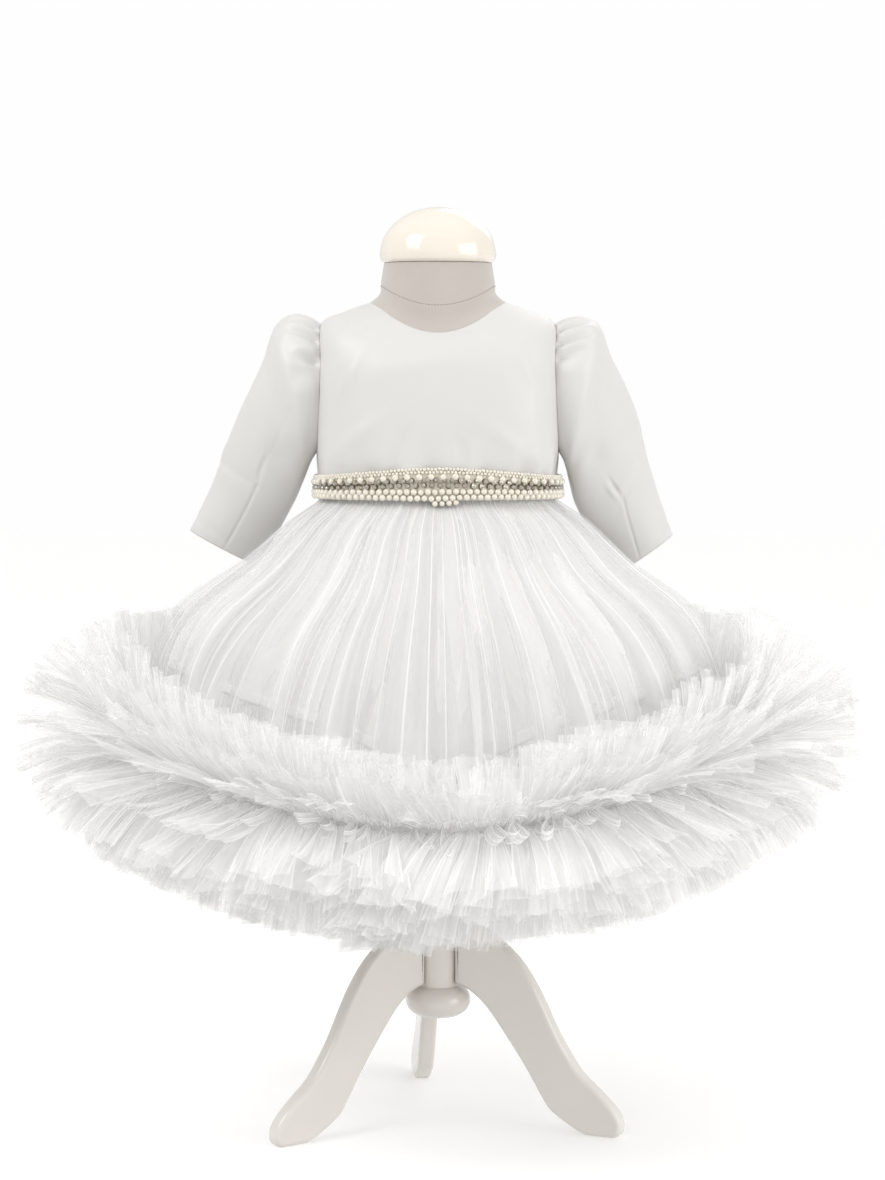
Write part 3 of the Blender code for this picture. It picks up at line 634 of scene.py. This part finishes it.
# A row of beads: its place up the belt, the spacing and radius of its beads, its scallop, its shift, and
# whether it is there only in the clusters.
BeadRow = namedtuple("BeadRow", "share spacing radius scallop shift low_only")
PEARL_ROWS = (
    BeadRow(0.965, 0.0028, 0.00145, 0.00, 0.0, False),
    BeadRow(0.875, 0.0028, 0.00140, 0.00, 0.5, False),
    BeadRow(0.735, 0.0090, 0.00270, 0.00, 0.5, False),
    BeadRow(0.305, 0.0053, 0.00262, 0.02, 0.0, False),
    BeadRow(0.135, 0.0053, 0.00258, 0.04, 0.5, False),
    BeadRow(-0.010, 0.0053, 0.00235, 0.05, 0.0, True),
)
BELT_GIRTH = 0.535

# Where the rows sag, and the clusters of the lowest row: the middle and the half width, in degrees.
Stretch = namedtuple("Stretch", "middle half")
SAGS = (Stretch(96.0, 26.0), Stretch(196.0, 14.0), Stretch(262.0, 18.0), Stretch(336.0, 12.0))
CLUSTERS = (Stretch(86.5, 9.5), Stretch(262.0, 8.0), Stretch(336.0, 6.0))
WAIST_STEPS = 720


def belt_angles(count, shift):
    """Angles that space beads evenly round the waist."""
    waist = [belt_place(math.tau * step / WAIST_STEPS, 0.5, 0.0) for step in range(WAIST_STEPS + 1)]
    run = [0.0]
    for here, there in zip(waist, waist[1:]):
        run.append(run[-1] + (there - here).length)
    angles = []
    for bead in range(count):
        wanted = run[-1] * (bead + shift) / count
        step = max(0, bisect_left(run, wanted) - 1)
        part = (wanted - run[step]) / (run[step + 1] - run[step])
        angles.append(math.tau * (step + part) / WAIST_STEPS)
    return angles


def sew_on(shape, bead, matrix):
    """Copy a bead's faces into a shape, in the place that a matrix gives."""
    corners = [shape.verts.new(matrix @ corner.co) for corner in bead.verts]
    for face in bead.faces:
        copy = shape.faces.new([corners[corner.index] for corner in face.verts])
        copy.material_index = face.material_index


PEARL_STAND = 0.45  # share of its radius by which a pearl's middle stands off the band
rng = random.Random(7)
ball = bmesh.new()
bmesh.ops.create_uvsphere(ball, u_segments=12, v_segments=8, radius=1.0)
ball.verts.index_update()
beads = bmesh.new()
for line in PEARL_ROWS:
    count = round(BELT_GIRTH / line.spacing)
    for angle in belt_angles(count, line.shift):
        degrees = math.degrees(angle)
        # How far the row has sagged: less than nought between the sags.
        swing = 1.5 * max(math.exp(-((degrees - sag.middle) / sag.half) ** 2) for sag in SAGS) - 0.3
        if line.low_only and all(abs(degrees - cluster.middle) > cluster.half for cluster in CLUSTERS):
            continue
        radius = line.radius * rng.uniform(0.93, 1.05)
        share = line.share - line.scallop * swing + rng.uniform(-0.01, 0.01)
        spot = belt_place(angle, share, BELT_WALL + radius * PEARL_STAND)
        sew_on(beads, ball, Matrix.Translation(spot) @ Matrix.Scale(radius, 4))
pearls = new_piece("belt_pearls", beads, [pearl], "pearl")
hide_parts("belt")

STONE_SPACING = 0.0031
STONE_ROWS = (0.640, 0.480)
STONE_STAND = 0.0009
GLASS_FROM = 0.0011  # height in a stone above which it is glass
STONE_TIP = 0.25  # radians by which a stone may lean
stone = bmesh.new()
bmesh.ops.create_cone(stone, segments=10, cap_ends=True, radius1=0.0024, radius2=0.0021, depth=0.0020)
bmesh.ops.create_cone(stone, segments=8, cap_ends=True, radius1=0.0018, radius2=0.0009, depth=0.0012,
                      matrix=Matrix.Translation((0.0, 0.0, 0.0015)))
stone.verts.index_update()
for face in stone.faces:
    face.material_index = 1 if face.calc_center_median().z > GLASS_FROM else 0
stones = bmesh.new()
for number, angle in enumerate(belt_angles(2 * round(BELT_GIRTH / STONE_SPACING / 2), 0.0)):
    share = STONE_ROWS[number % 2] + rng.uniform(-0.012, 0.012)
    spot = belt_place(angle, share, BELT_WALL + STONE_STAND)
    outward = (belt_place(angle, share, 0.01) - belt_place(angle, share, 0.0)).normalized()
    upright = outward.to_track_quat("Z", "Y").to_matrix().to_4x4()
    tip = Matrix.Rotation(rng.uniform(-STONE_TIP, STONE_TIP), 4, "X")
    tip = tip @ Matrix.Rotation(rng.uniform(-STONE_TIP, STONE_TIP), 4, "Y")
    sew_on(stones, stone, Matrix.Translation(spot) @ upright @ tip)
ball.free()
stone.free()
stone_row = new_piece("belt_stones", stones, [stone_metal, stone_glass], "pearl")
stone_row.data.set_sharp_from_angle(angle=math.radians(20))

# ---- underskirt
# A satin lining that hangs inside the tulle from the waist seam, slightly waved, with a bound hem.

SKIRT = (
    level_ring(0.5116, 0.0945, 0.0650, 0.0610, 2.5),                        # waist seam
    Section(0.5020, 0.5010, 0.5020, 0.0965, 0.0670, 0.0625, 0.0000, 2.5),   # under the belt
    Section(0.4840, 0.4800, 0.4840, 0.1240, 0.0960, 0.0860, -0.005, 2.1),   # first spring
    Section(0.4540, 0.4430, 0.4560, 0.1600, 0.1200, 0.1050, -0.022, 2.0),   # beside the cuffs
    Section(0.4180, 0.3950, 0.4180, 0.2060, 0.1600, 0.1430, -0.014, 2.0),   # fullest slope
    Section(0.3700, 0.3350, 0.3660, 0.2300, 0.1950, 0.1900, 0.0000, 2.0),   # fall
    Section(0.3200, 0.2690, 0.3200, 0.2370, 0.2080, 0.2080, 0.0000, 2.0),   # sewn to the ruffle
)
LINING_END = 4.86  # row of the hem, which dips in the middle of the front
LINING_DIP, LINING_DIP_HALF, LINING_SWAY = 0.52, 0.36, 0.12
LINING_FOLD = 0.0030
LINING_WALL, BINDING_WALL = 0.0010, 0.0032
# How far inside the skirt's sections the lining hangs, at each of them.
LiningInset = namedtuple("LiningInset", "depth")
LINING_INSETS = tuple(LiningInset(depth) for depth in (
    0.0017, 0.0030, 0.0085, 0.0110, 0.0135, 0.0155, 0.0155))
UP = Vector((0.0, 0.0, 1.0))


def skirt_point(row, angle, inset, lift):
    """A point of the skirt at a row and an angle, set inwards and down, and lifted outwards."""
    section = between(SKIRT, row)
    point = round_body(section, angle)
    outward = Vector((point.x, point.y - section.middle_y, 0.0)).normalized()
    slope = 0.25 + 0.75 * min(1.0, max(0.0, (row - 4.0) / 1.5))
    point -= outward * inset * (0.6 + 0.4 * slope)
    return point - UP * (inset * (1 - slope) * 0.7) + outward * lift


def ripple(angle, turns, row, seed):
    """Smooth folds that run down a skirt, about as many as 6 times turns, uneven round it."""
    return noise.noise(Vector((math.cos(angle) * turns, math.sin(angle) * turns, row * 0.35 + seed)))


def lining_rule(start, end, out):
    """The rule of the lining between two of the skirt's rows, raised by a small step."""
    def place(u, v):
        angle = math.tau * u
        dip = LINING_DIP * math.exp(-((angle - math.pi / 2) / LINING_DIP_HALF) ** 2)
        dip += LINING_SWAY * ripple(angle, 1.2, 0.0, 17.0)
        row = start + (end - start) * v
        row += dip * row / LINING_END
        inset = between(LINING_INSETS, row).depth
        fold = LINING_FOLD * min(1.0, row / 3) * ripple(angle, 4.0, row, 11.0)
        return skirt_point(row, angle, inset, fold + out)
    return place


lining = toned_material("lining", (0.82, 0.806, 0.788), 0.04, 20.0, {
    "Sheen Weight": 0.2, "Roughness": 0.5, "Specular IOR Level": 0.4})
relief(lining, 700.0, 0.0002, 0.2)
underskirt = cloth("underskirt_satin", 220, 60, [lining_rule(0.0, LINING_END, 0.0)], [lining], "satin",
                   closed=True)
thicken(underskirt, LINING_WALL)
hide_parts("underskirt_front", "underskirt_back")
binding = cloth("underskirt_binding", 260, 4, [lining_rule(LINING_END - 0.14, LINING_END + 0.02, 0.0012)],
                [lining], "satin", closed=True)
thicken(binding, BINDING_WALL)

# ---- tulle skirt
# Three layers of sheer tulle gathered into the waist seam. Soft folds run down from the belt, fine and
# close at the waist and broad at the hem, and the cloth is denser where it folds over itself.

TULLE_LAYERS = 3
LAYER_GAP = 0.0034
BROAD_FOLD, NARROW_FOLD, PLEAT = 0.0120, 0.0065, 0.0015

# Net that is thin where it lies single and dense where it lies double, in broad zones and fine lines.
# Its colour carries painted light: greyer where single, as painted shade, and whiter where double, partly the
# denser cloth and partly a painted highlight.
net, given, result = new_group(
    "tulle net", (("Zones", NUMBER, 60.0), ("Lines", NUMBER, 150.0), ("Along", NUMBER, 1.0),
                  ("Thin", NUMBER, 0.3), ("Dense", NUMBER, 0.8), ("Tip", NUMBER, 0.0),
                  ("Line", NUMBER, 0.035), ("Edge", NUMBER, 0.0),
                  ("Single with painted shade", COLOUR, (0.85, 0.85, 0.84, 1.0)), ("Double with painted highlight", COLOUR, (0.95, 0.95, 0.94, 1.0))),
    (("Alpha", NUMBER), ("Colour", COLOUR)))
cut_at = add_node(net, "UVMap", uv_map="cut").outputs["UV"]
apart = add_node(net, "SeparateXYZ", {0: cut_at}).outputs
tall = combine(net, "MULTIPLY", apart["Y"], given["Along"])


def streaks(count, detail):
    """Noise drawn out along the cut, with as many streaks across it as the group is told."""
    wide = combine(net, "MULTIPLY", apart["X"], given[count])
    spot = add_node(net, "CombineXYZ", {"X": wide, "Y": tall, "Z": detail + 1.0})
    return add_node(net, "TexNoise",
                    {"Vector": spot.outputs[0], "Scale": 1.0, "Detail": detail}).outputs["Fac"]


def off_half(value):
    """How far a value of the net is from a half."""
    return combine(net, "ABSOLUTE", combine(net, "SUBTRACT", value, 0.5))


zone = ranged(net, streaks("Zones", 1.0), 0.35, 0.65, 0.0, 0.5)
# A folded edge is a thin line where the cloth lies double and denser, made brighter by a painted highlight.
fold_line = ranged(net, off_half(streaks("Lines", 0.0)), 0.0, given["Line"], 0.6, 0.0)
# The long edges of a strip, whose cut runs from one whole number to the next, are folded in and lie double,
# and take the painted highlight too.
rim = ranged(net, off_half(combine(net, "FRACT", apart["X"])), 0.40, 0.47, 0.0, given["Edge"])
double_cloth_and_highlight = combine(net, "ADD", combine(net, "ADD", zone, fold_line), rim, use_clamp=True)
spread = ranged(net, double_cloth_and_highlight, 0.0, 1.0, given["Thin"], given["Dense"])
# The net thins towards its free end.
fade = combine(net, "MULTIPLY", combine(net, "POWER", apart["Y"], 2.0), given["Tip"])
cover = combine(net, "MULTIPLY", spread, combine(net, "SUBTRACT", 1.0, fade))
# Painted shade and highlight: single net gets the greyer colour and double net, rims and fold lines the
# whiter one.
net_colour_and_painted_light = add_node(net, "MixRGB", {"Fac": double_cloth_and_highlight, "Color1": given["Single with painted shade"], "Color2": given["Double with painted highlight"]})
net.links.new(cover, result["Alpha"])
net.links.new(net_colour_and_painted_light.outputs["Color"], result["Colour"])


def net_material(name, values, weave):
    """A sheer material: plain values for the shader, and others for the net."""
    material = new_material(name, {"Specular IOR Level": 0.15, **values})
    use_group(material, net, weave, {"Alpha": "Alpha", "Colour": "Base Color"})
    return material


# Its greyer single colour is painted shade, and its whiter double colour is partly a painted highlight.
skirt_tulle = net_material("skirt tulle", {"Roughness": 0.85, "Sheen Weight": 0.3}, {
    "Zones": 46.0, "Lines": 70.0, "Along": 0.20, "Thin": 0.12, "Dense": 0.60,
    "Single with painted shade": (0.94, 0.937, 0.932, 1.0), "Double with painted highlight": (0.97, 0.967, 0.962, 1.0)})


def tulle_rule(layer):
    """The rule of one layer of the skirt, with folds that die out where it is sewn to the ruffle."""
    def place(u, v):
        row = (len(SKIRT) - 1) * v
        angle = math.tau * u
        full = min(1.0, max(0.0, row - 0.8) / 2.2)
        sewn = min(1.0, max(0.0, (len(SKIRT) - 1 - row) / 0.5))
        folds = BROAD_FOLD * ripple(angle, 6.0, row, 3.0 + layer)
        folds += NARROW_FOLD * ripple(angle, 14.0, row, 9.0 + 2 * layer)
        pleats = PLEAT * ripple(angle, 30.0, row, 21.0 + layer)
        lift = ((folds - 0.005) * full + pleats * (0.35 + 0.65 * full)) * sewn
        return skirt_point(row, angle, 0.0006 + LAYER_GAP * layer * min(1.0, row / 3), lift)
    return place


skirt = cloth("skirt_tulle", 620, 40, [tulle_rule(layer) for layer in range(TULLE_LAYERS)], [skirt_tulle],
              "tulle", closed=True)
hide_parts("skirt_front", "skirt_back")

# ---- ruffle
# Hundreds of strips of tulle, gathered and sewn by one end to a line round the hem, so that they stand out
# all round it like a boa. They lean together in tufts, and their free ends are cut square.

SPINE_RADIUS = 0.0060
SPINE_OUT = 0.0068


def spine_at(angle):
    """The middle of the line that the ruffle is sewn to, and the level direction outwards."""
    hem = SKIRT[-1]
    point = round_body(hem, angle)
    outward = Vector((point.x / hem.half_width ** 2, point.y / hem.front_depth ** 2, 0.0))
    outward.normalize()
    return point + outward * SPINE_OUT, outward


# A layer of the ruffle: how steeply its strips leave the line and end, in degrees above level, and how far
# they reach.
Frill = namedtuple("Frill", "root edge reach")
RUFFLE = {
    "ruffle_top": (Frill(84, 82, 0.090), Frill(71, 69, 0.094), Frill(58, 55, 0.095)),
    "ruffle_upper": (Frill(44, 41, 0.096), Frill(29, 26, 0.097), Frill(15, 12, 0.098)),
    "ruffle_lower": (Frill(2, -2, 0.098), Frill(-13, -18, 0.098), Frill(-27, -33, 0.097)),
    "ruffle_bottom": (Frill(-42, -48, 0.095), Frill(-57, -62, 0.093), Frill(-74, -78, 0.090)),
}
STRIPS = 210  # in each layer
STRIP_COLUMNS, STRIP_ROWS = 5, 7
STRIP_START = SPINE_RADIUS * 0.6
STRIP_ROOT = 0.0035  # width of a strip where it is gathered
STRIP_FLARE = 0.6  # how it widens from there: less than 1 is soon
TUFT = (3, 8)  # fewest and most strips of a tuft
TUFT_PULL = 0.10  # how far a tuft's strips draw in to its middle
PARTING_AT = 4.0  # degrees above level at which the strips of the front part
PARTING_HALF = 18.0  # degrees that they leave clear on each side of it
# How much shorter the upright strips are at the front, and in its middle.
FRONT_CUT, MIDDLE_CUT = 0.32, 0.06
JOIN = math.radians(96.5)  # where the ends of the sewn line meet, just left of the middle of the front
# How far the strips on each side of it lean towards it, as a share of their reach.
JOIN_RIGHT_LEAN, JOIN_LEFT_LEAN = 0.46, -0.22
JOIN_SPREAD = math.radians(21.0)
UPRIGHT_FROM = 25.0  # degrees above level from which a strip counts as upright
# In the middle of the front only one upright strip in three is there, and the skirt shows between them.
SPARSE_AT, SPARSE_HALF = math.radians(86.0), math.radians(13.0)

Strip = namedtuple("Strip", "number angle lean sway long wide roll twist waves phase fold slant")


def frill_strips(seed, first):
    """The strips of one layer, numbered from the first. Those of a tuft lean together."""
    draw = random.Random(seed)
    strips = []
    while len(strips) < STRIPS:
        tuft = min(draw.randint(*TUFT), STRIPS - len(strips))
        lean, sway, long = draw.uniform(-8, 8), draw.uniform(-0.10, 0.10), draw.uniform(0.93, 1.0)
        for place in range(tuft):
            part = (place + 0.5) / tuft - 0.5
            angle = math.tau * (len(strips) + draw.uniform(-0.4, 0.4)) / STRIPS
            strips.append(Strip(
                first + len(strips), angle, lean + draw.uniform(-4, 4),
                sway - TUFT_PULL * part + draw.uniform(-0.05, 0.05), long * draw.uniform(0.95, 1.02),
                draw.uniform(0.014, 0.027), draw.uniform(-0.5, 0.5), draw.uniform(-0.3, 0.3),
                draw.choice((0.5, 0.5, 1.0)), draw.uniform(0.0, 1.0), draw.uniform(0.05, 0.15),
                draw.uniform(-0.05, 0.05)))
    return strips


def spun(first, second, angle):
    """Two directions square to each other, turned by an angle from the first towards the second."""
    cos, sin = math.cos(angle), math.sin(angle)
    return first * cos + second * sin, second * cos - first * sin


def strip_rule(frill, strip, parting):
    """The rule of one strip, across it by u and along it by v. Those of the front may part."""
    middle, outward = spine_at(strip.angle)
    beside = Vector((outward.y, -outward.x, 0.0))
    front = max(0.0, math.sin(strip.angle))
    off = frill.root - PARTING_AT
    pushed = math.copysign(parting + abs(off) * (90.0 - parting) / 90.0, off)
    root = frill.root + (pushed - off) * front * front
    upright = max(0.0, min(1.0, (root - UPRIGHT_FROM) / 20.0))
    cut = (FRONT_CUT * front + MIDDLE_CUT * front ** 10) * upright
    reach = frill.reach * strip.long * (1.0 - cut)
    past = strip.angle - JOIN
    join = (JOIN_LEFT_LEAN if past > 0 else JOIN_RIGHT_LEAN) * math.exp(-(past / JOIN_SPREAD) ** 2)
    sway = strip.sway + join * (1.0 if root < 0 else 0.3)

    def place(u, v):
        slope = math.radians(root + (frill.edge - frill.root) * v + strip.lean * v * v)
        along, over = spun(outward, UP, slope)
        across, lift = spun(beside, over, strip.roll + strip.twist * v)
        width = STRIP_ROOT + (strip.wide - STRIP_ROOT) * v ** STRIP_FLARE
        crease = strip.fold * width * math.cos(math.tau * (strip.waves * u + strip.phase))
        run = STRIP_START + (reach - STRIP_START) * v * (1.0 + strip.slant * (u - 0.5))
        spot = middle + along * run + across * (width * (u - 0.5)) + lift * crease
        return spot + beside * (sway * reach * v)
    return place


# Painted glow: a faint emission that lifts the shade among the strips, in place of the light that they pass
# on to each other.
PAINTED_GLOW = {"Emission Color": (1.0, 0.992, 0.98, 1.0), "Emission Strength": 0.08}
# The ruffle's tulle glows faintly as painted light, and its net colours hold painted shade and highlight.
ruffle_tulle = net_material("ruffle tulle", {"Roughness": 0.85, "Sheen Weight": 0.25, **PAINTED_GLOW}, {
    "Zones": 2.2, "Lines": 1.7, "Along": 0.6, "Thin": 0.34, "Dense": 0.66, "Tip": 0.42, "Line": 0.06,
    "Edge": 0.85, "Single with painted shade": (0.91, 0.905, 0.895, 1.0), "Double with painted highlight": (0.97, 0.967, 0.962, 1.0)})
for group, (name, frills) in enumerate(RUFFLE.items()):
    shape = bmesh.new()
    for layer, frill in enumerate(frills):
        for strip in frill_strips(100 * group + layer, layer * STRIPS):
            sparse = frill.root > UPRIGHT_FROM and abs(strip.angle - SPARSE_AT) < SPARSE_HALF
            if sparse and strip.number % 3:
                continue
            rule = strip_rule(frill, strip, PARTING_HALF)
            lay_sheet(shape, STRIP_COLUMNS, STRIP_ROWS, rule, strip.number)
    piece = new_piece(name + "_tulle", shape, [ruffle_tulle], "tulle")
    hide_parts(name + "_front", name + "_back")

# The line itself is a narrow tape, puckered by the sewing, and a heading of short strips hides it.
TAPE_RADIUS = 0.0046
TAPE_WRAP = math.radians(352.0)  # how far the tape folds round, with its edges towards the skirt
TAPE_PUCKER = 0.45


def tape_place(u, v):
    middle, outward = spine_at(math.tau * u)
    aside, _ = spun(outward, UP, TAPE_WRAP * (v - 0.5))
    pucker = 1.0 + TAPE_PUCKER * noise.noise((middle + aside * 0.004) * 260)
    return middle + aside * TAPE_RADIUS * pucker


tape = cloth("ruffle_tape", 500, 12, [tape_place], [lining], "tulle", closed=True)
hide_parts("ruffle_spine")

HEADING_WIDTH, HEADING_LEAN = 0.55, 1.5  # next to the ruffle's own strips
HEADING = (Frill(52, 56, 0.030), Frill(18, 22, 0.024), Frill(-16, -24, 0.024), Frill(-48, -56, 0.032))
# The heading's tulle, used for the loops too, glows faintly as painted light, and its net colours hold
# painted shade and highlight.
heading_tulle = net_material("heading tulle", {"Roughness": 0.8, "Sheen Weight": 0.3, **PAINTED_GLOW}, {
    "Zones": 2.0, "Lines": 2.5, "Along": 1.0, "Thin": 0.36, "Dense": 0.80, "Line": 0.08, "Edge": 1.0,
    "Single with painted shade": (0.92, 0.916, 0.908, 1.0), "Double with painted highlight": (0.98, 0.977, 0.972, 1.0)})
shape = bmesh.new()
for layer, frill in enumerate(HEADING):
    for strip in frill_strips(500 + layer, layer * STRIPS):
        small = strip._replace(wide=strip.wide * HEADING_WIDTH, lean=strip.lean * HEADING_LEAN)
        lay_sheet(shape, 4, 4, strip_rule(frill, small, 0.0), strip.number)
heading = new_piece("ruffle_heading", shape, [heading_tulle], "tulle")

# Loops of folded strip hang over the line, some round and some long.
LOOPS = 230
LOOP_START = SPINE_RADIUS * 0.7
LOOP_SLOPES = (-62, -50, -40, -30, -16, -2, 14, 42)
# The least and most of a loop's reach, its width and the width of its strip.
LOOP_SIZES = ((0.016, 0.042), (0.008, 0.013), (0.005, 0.009))
loops = bmesh.new()


def loop_rule(angle):
    """The rule of one loop: u runs across the strip and v out along it and back."""
    middle, outward = spine_at(angle)
    beside = Vector((outward.y, -outward.x, 0.0))
    slope = math.radians(rng.choice(LOOP_SLOPES))
    down, over = spun(outward, UP, slope)
    long, wide, strip_width = (rng.uniform(*ends) for ends in LOOP_SIZES)
    skew, roll = rng.uniform(-0.45, 0.45), rng.uniform(-0.9, 0.9)
    across, _ = spun(over, beside, roll)

    def place(u, v):
        turn = math.tau * v
        length = long * ((1 - math.cos(turn)) / 2) ** 0.8
        aside = wide / 2 * math.sin(turn) * (0.4 + 0.6 * length / long) + skew * length
        spot = middle + down * (LOOP_START + length) + across * strip_width * (u - 0.5)
        return spot + over * (0.004 + 0.1 * length) + beside * aside
    return place


for number in range(LOOPS):
    rule = loop_rule(math.tau * (number + rng.uniform(-0.4, 0.4)) / LOOPS)
    lay_sheet(loops, 1, 18, rule, number)
loop_piece = new_piece("ruffle_loops", loops, [heading_tulle], "tulle")

# ---- stand
# A turned post with a flattened ball under it and three curved legs, cut from board with rounded edges.
# All of it is finished in ivory gloss lacquer.

POST_RADIUS = 0.0165
POST_BOTTOM_Z = 0.1100
LEG_THICKNESS = 0.014
LEG_AZIMUTHS = {"leg_left": -54.0, "leg_right": 66.0, "leg_back": 186.0}

lacquer = toned_material("lacquer", (0.79, 0.75, 0.70), 0.10, 14.0, {
    "Roughness": 0.26, "Coat Weight": 0.6, "Coat Roughness": 0.10})
relief(lacquer, 160.0, 0.0006, 0.15, stretch=(1.0, 1.0, 0.12))

OutlinePoint = namedtuple("OutlinePoint", "out up")
POST = ((0.0155, POST_BOTTOM_Z), (POST_RADIUS, POST_BOTTOM_Z + 0.0015), (POST_RADIUS, 0.2),
        (POST_RADIUS, 0.3), (POST_RADIUS, 0.4297))
BALL = ((0.0100, 0.0840), (0.0170, 0.0850), (0.0235, 0.0895), (0.0265, 0.0965), (0.0250, 0.1030),
        (0.0205, 0.1075), (0.0150, 0.1097))


def turned(name, profile, node):
    """A lacquered piece turned on a lathe, from its profile upwards."""
    profile = [OutlinePoint(*spot) for spot in profile]

    def place(u, v):
        turn = math.tau * u
        spot = between(profile, (1.0 - v) * (len(profile) - 1))
        return Vector((spot.out * math.cos(turn), -spot.out * math.sin(turn), spot.up))

    piece = cloth(name, 64, 48, [place], [lacquer], "lacquer", closed=True)
    close_ends(piece)
    piece.data.set_sharp_from_angle(angle=math.radians(50))
    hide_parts(node)


turned("post_lacquer", POST, "post")
turned("post_ball_lacquer", BALL, "post_ball")

LEG_OUTLINE = tuple(OutlinePoint(*spot) for spot in (
    (0.0170, 0.1115), (0.0290, 0.1080), (0.0450, 0.0950), (0.0650, 0.0690), (0.0810, 0.0460),
    (0.0945, 0.0240), (0.1040, 0.0140), (0.1300, 0.0000), (0.1540, 0.0000), (0.1600, 0.0080),
    (0.1560, 0.0200), (0.1400, 0.0360), (0.1240, 0.0500), (0.1060, 0.0770), (0.0880, 0.1120),
    (0.0700, 0.1370), (0.0480, 0.1540), (0.0300, 0.1620), (0.0170, 0.1640),
))
STEPS_PER_STRETCH = 3
CORNERS = (0, 7, 8, len(LEG_OUTLINE) - 1)  # points of the outline with a straight line between them
LEG_BEVEL, LEG_FLAT_RIM = 0.0034, 0.0006

for name, azimuth in LEG_AZIMUTHS.items():
    turn = math.radians(azimuth)
    outward = Vector((math.sin(turn), -math.cos(turn), 0.0))
    across = Vector((outward.y, -outward.x, 0.0))
    outline = []
    for row in range(len(LEG_OUTLINE) - 1):
        straight = row in CORNERS and row + 1 in CORNERS
        for step in range(1 if straight else STEPS_PER_STRETCH):
            outline.append(between(LEG_OUTLINE, row + step / STEPS_PER_STRETCH))
    outline.append(LEG_OUTLINE[-1])
    shape = bmesh.new()
    middle = [outward * spot.out + UP * max(0.0, spot.up) for spot in outline]
    board = shape.faces.new([shape.verts.new(spot - across * LEG_THICKNESS / 2) for spot in middle])
    grown = bmesh.ops.extrude_face_region(shape, geom=[board])["geom"]
    bmesh.ops.translate(shape, verts=[item for item in grown if isinstance(item, bmesh.types.BMVert)],
                        vec=across * LEG_THICKNESS)
    bmesh.ops.recalc_face_normals(shape, faces=shape.faces)
    rims = [edge for edge in shape.edges if edge.calc_face_angle(0) > math.radians(60)]
    bmesh.ops.bevel(shape, geom=rims, offset=LEG_BEVEL, segments=4, profile=0.5, affect="EDGES",
                    material=-1)
    flats = sorted(shape.faces, key=lambda face: face.calc_area())[-2:]
    bmesh.ops.inset_region(shape, faces=flats, thickness=LEG_FLAT_RIM)
    piece = new_piece(name + "_lacquer", shape, [lacquer], "lacquer")
    piece.data.set_sharp_from_angle(angle=math.radians(40))
    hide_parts(name)
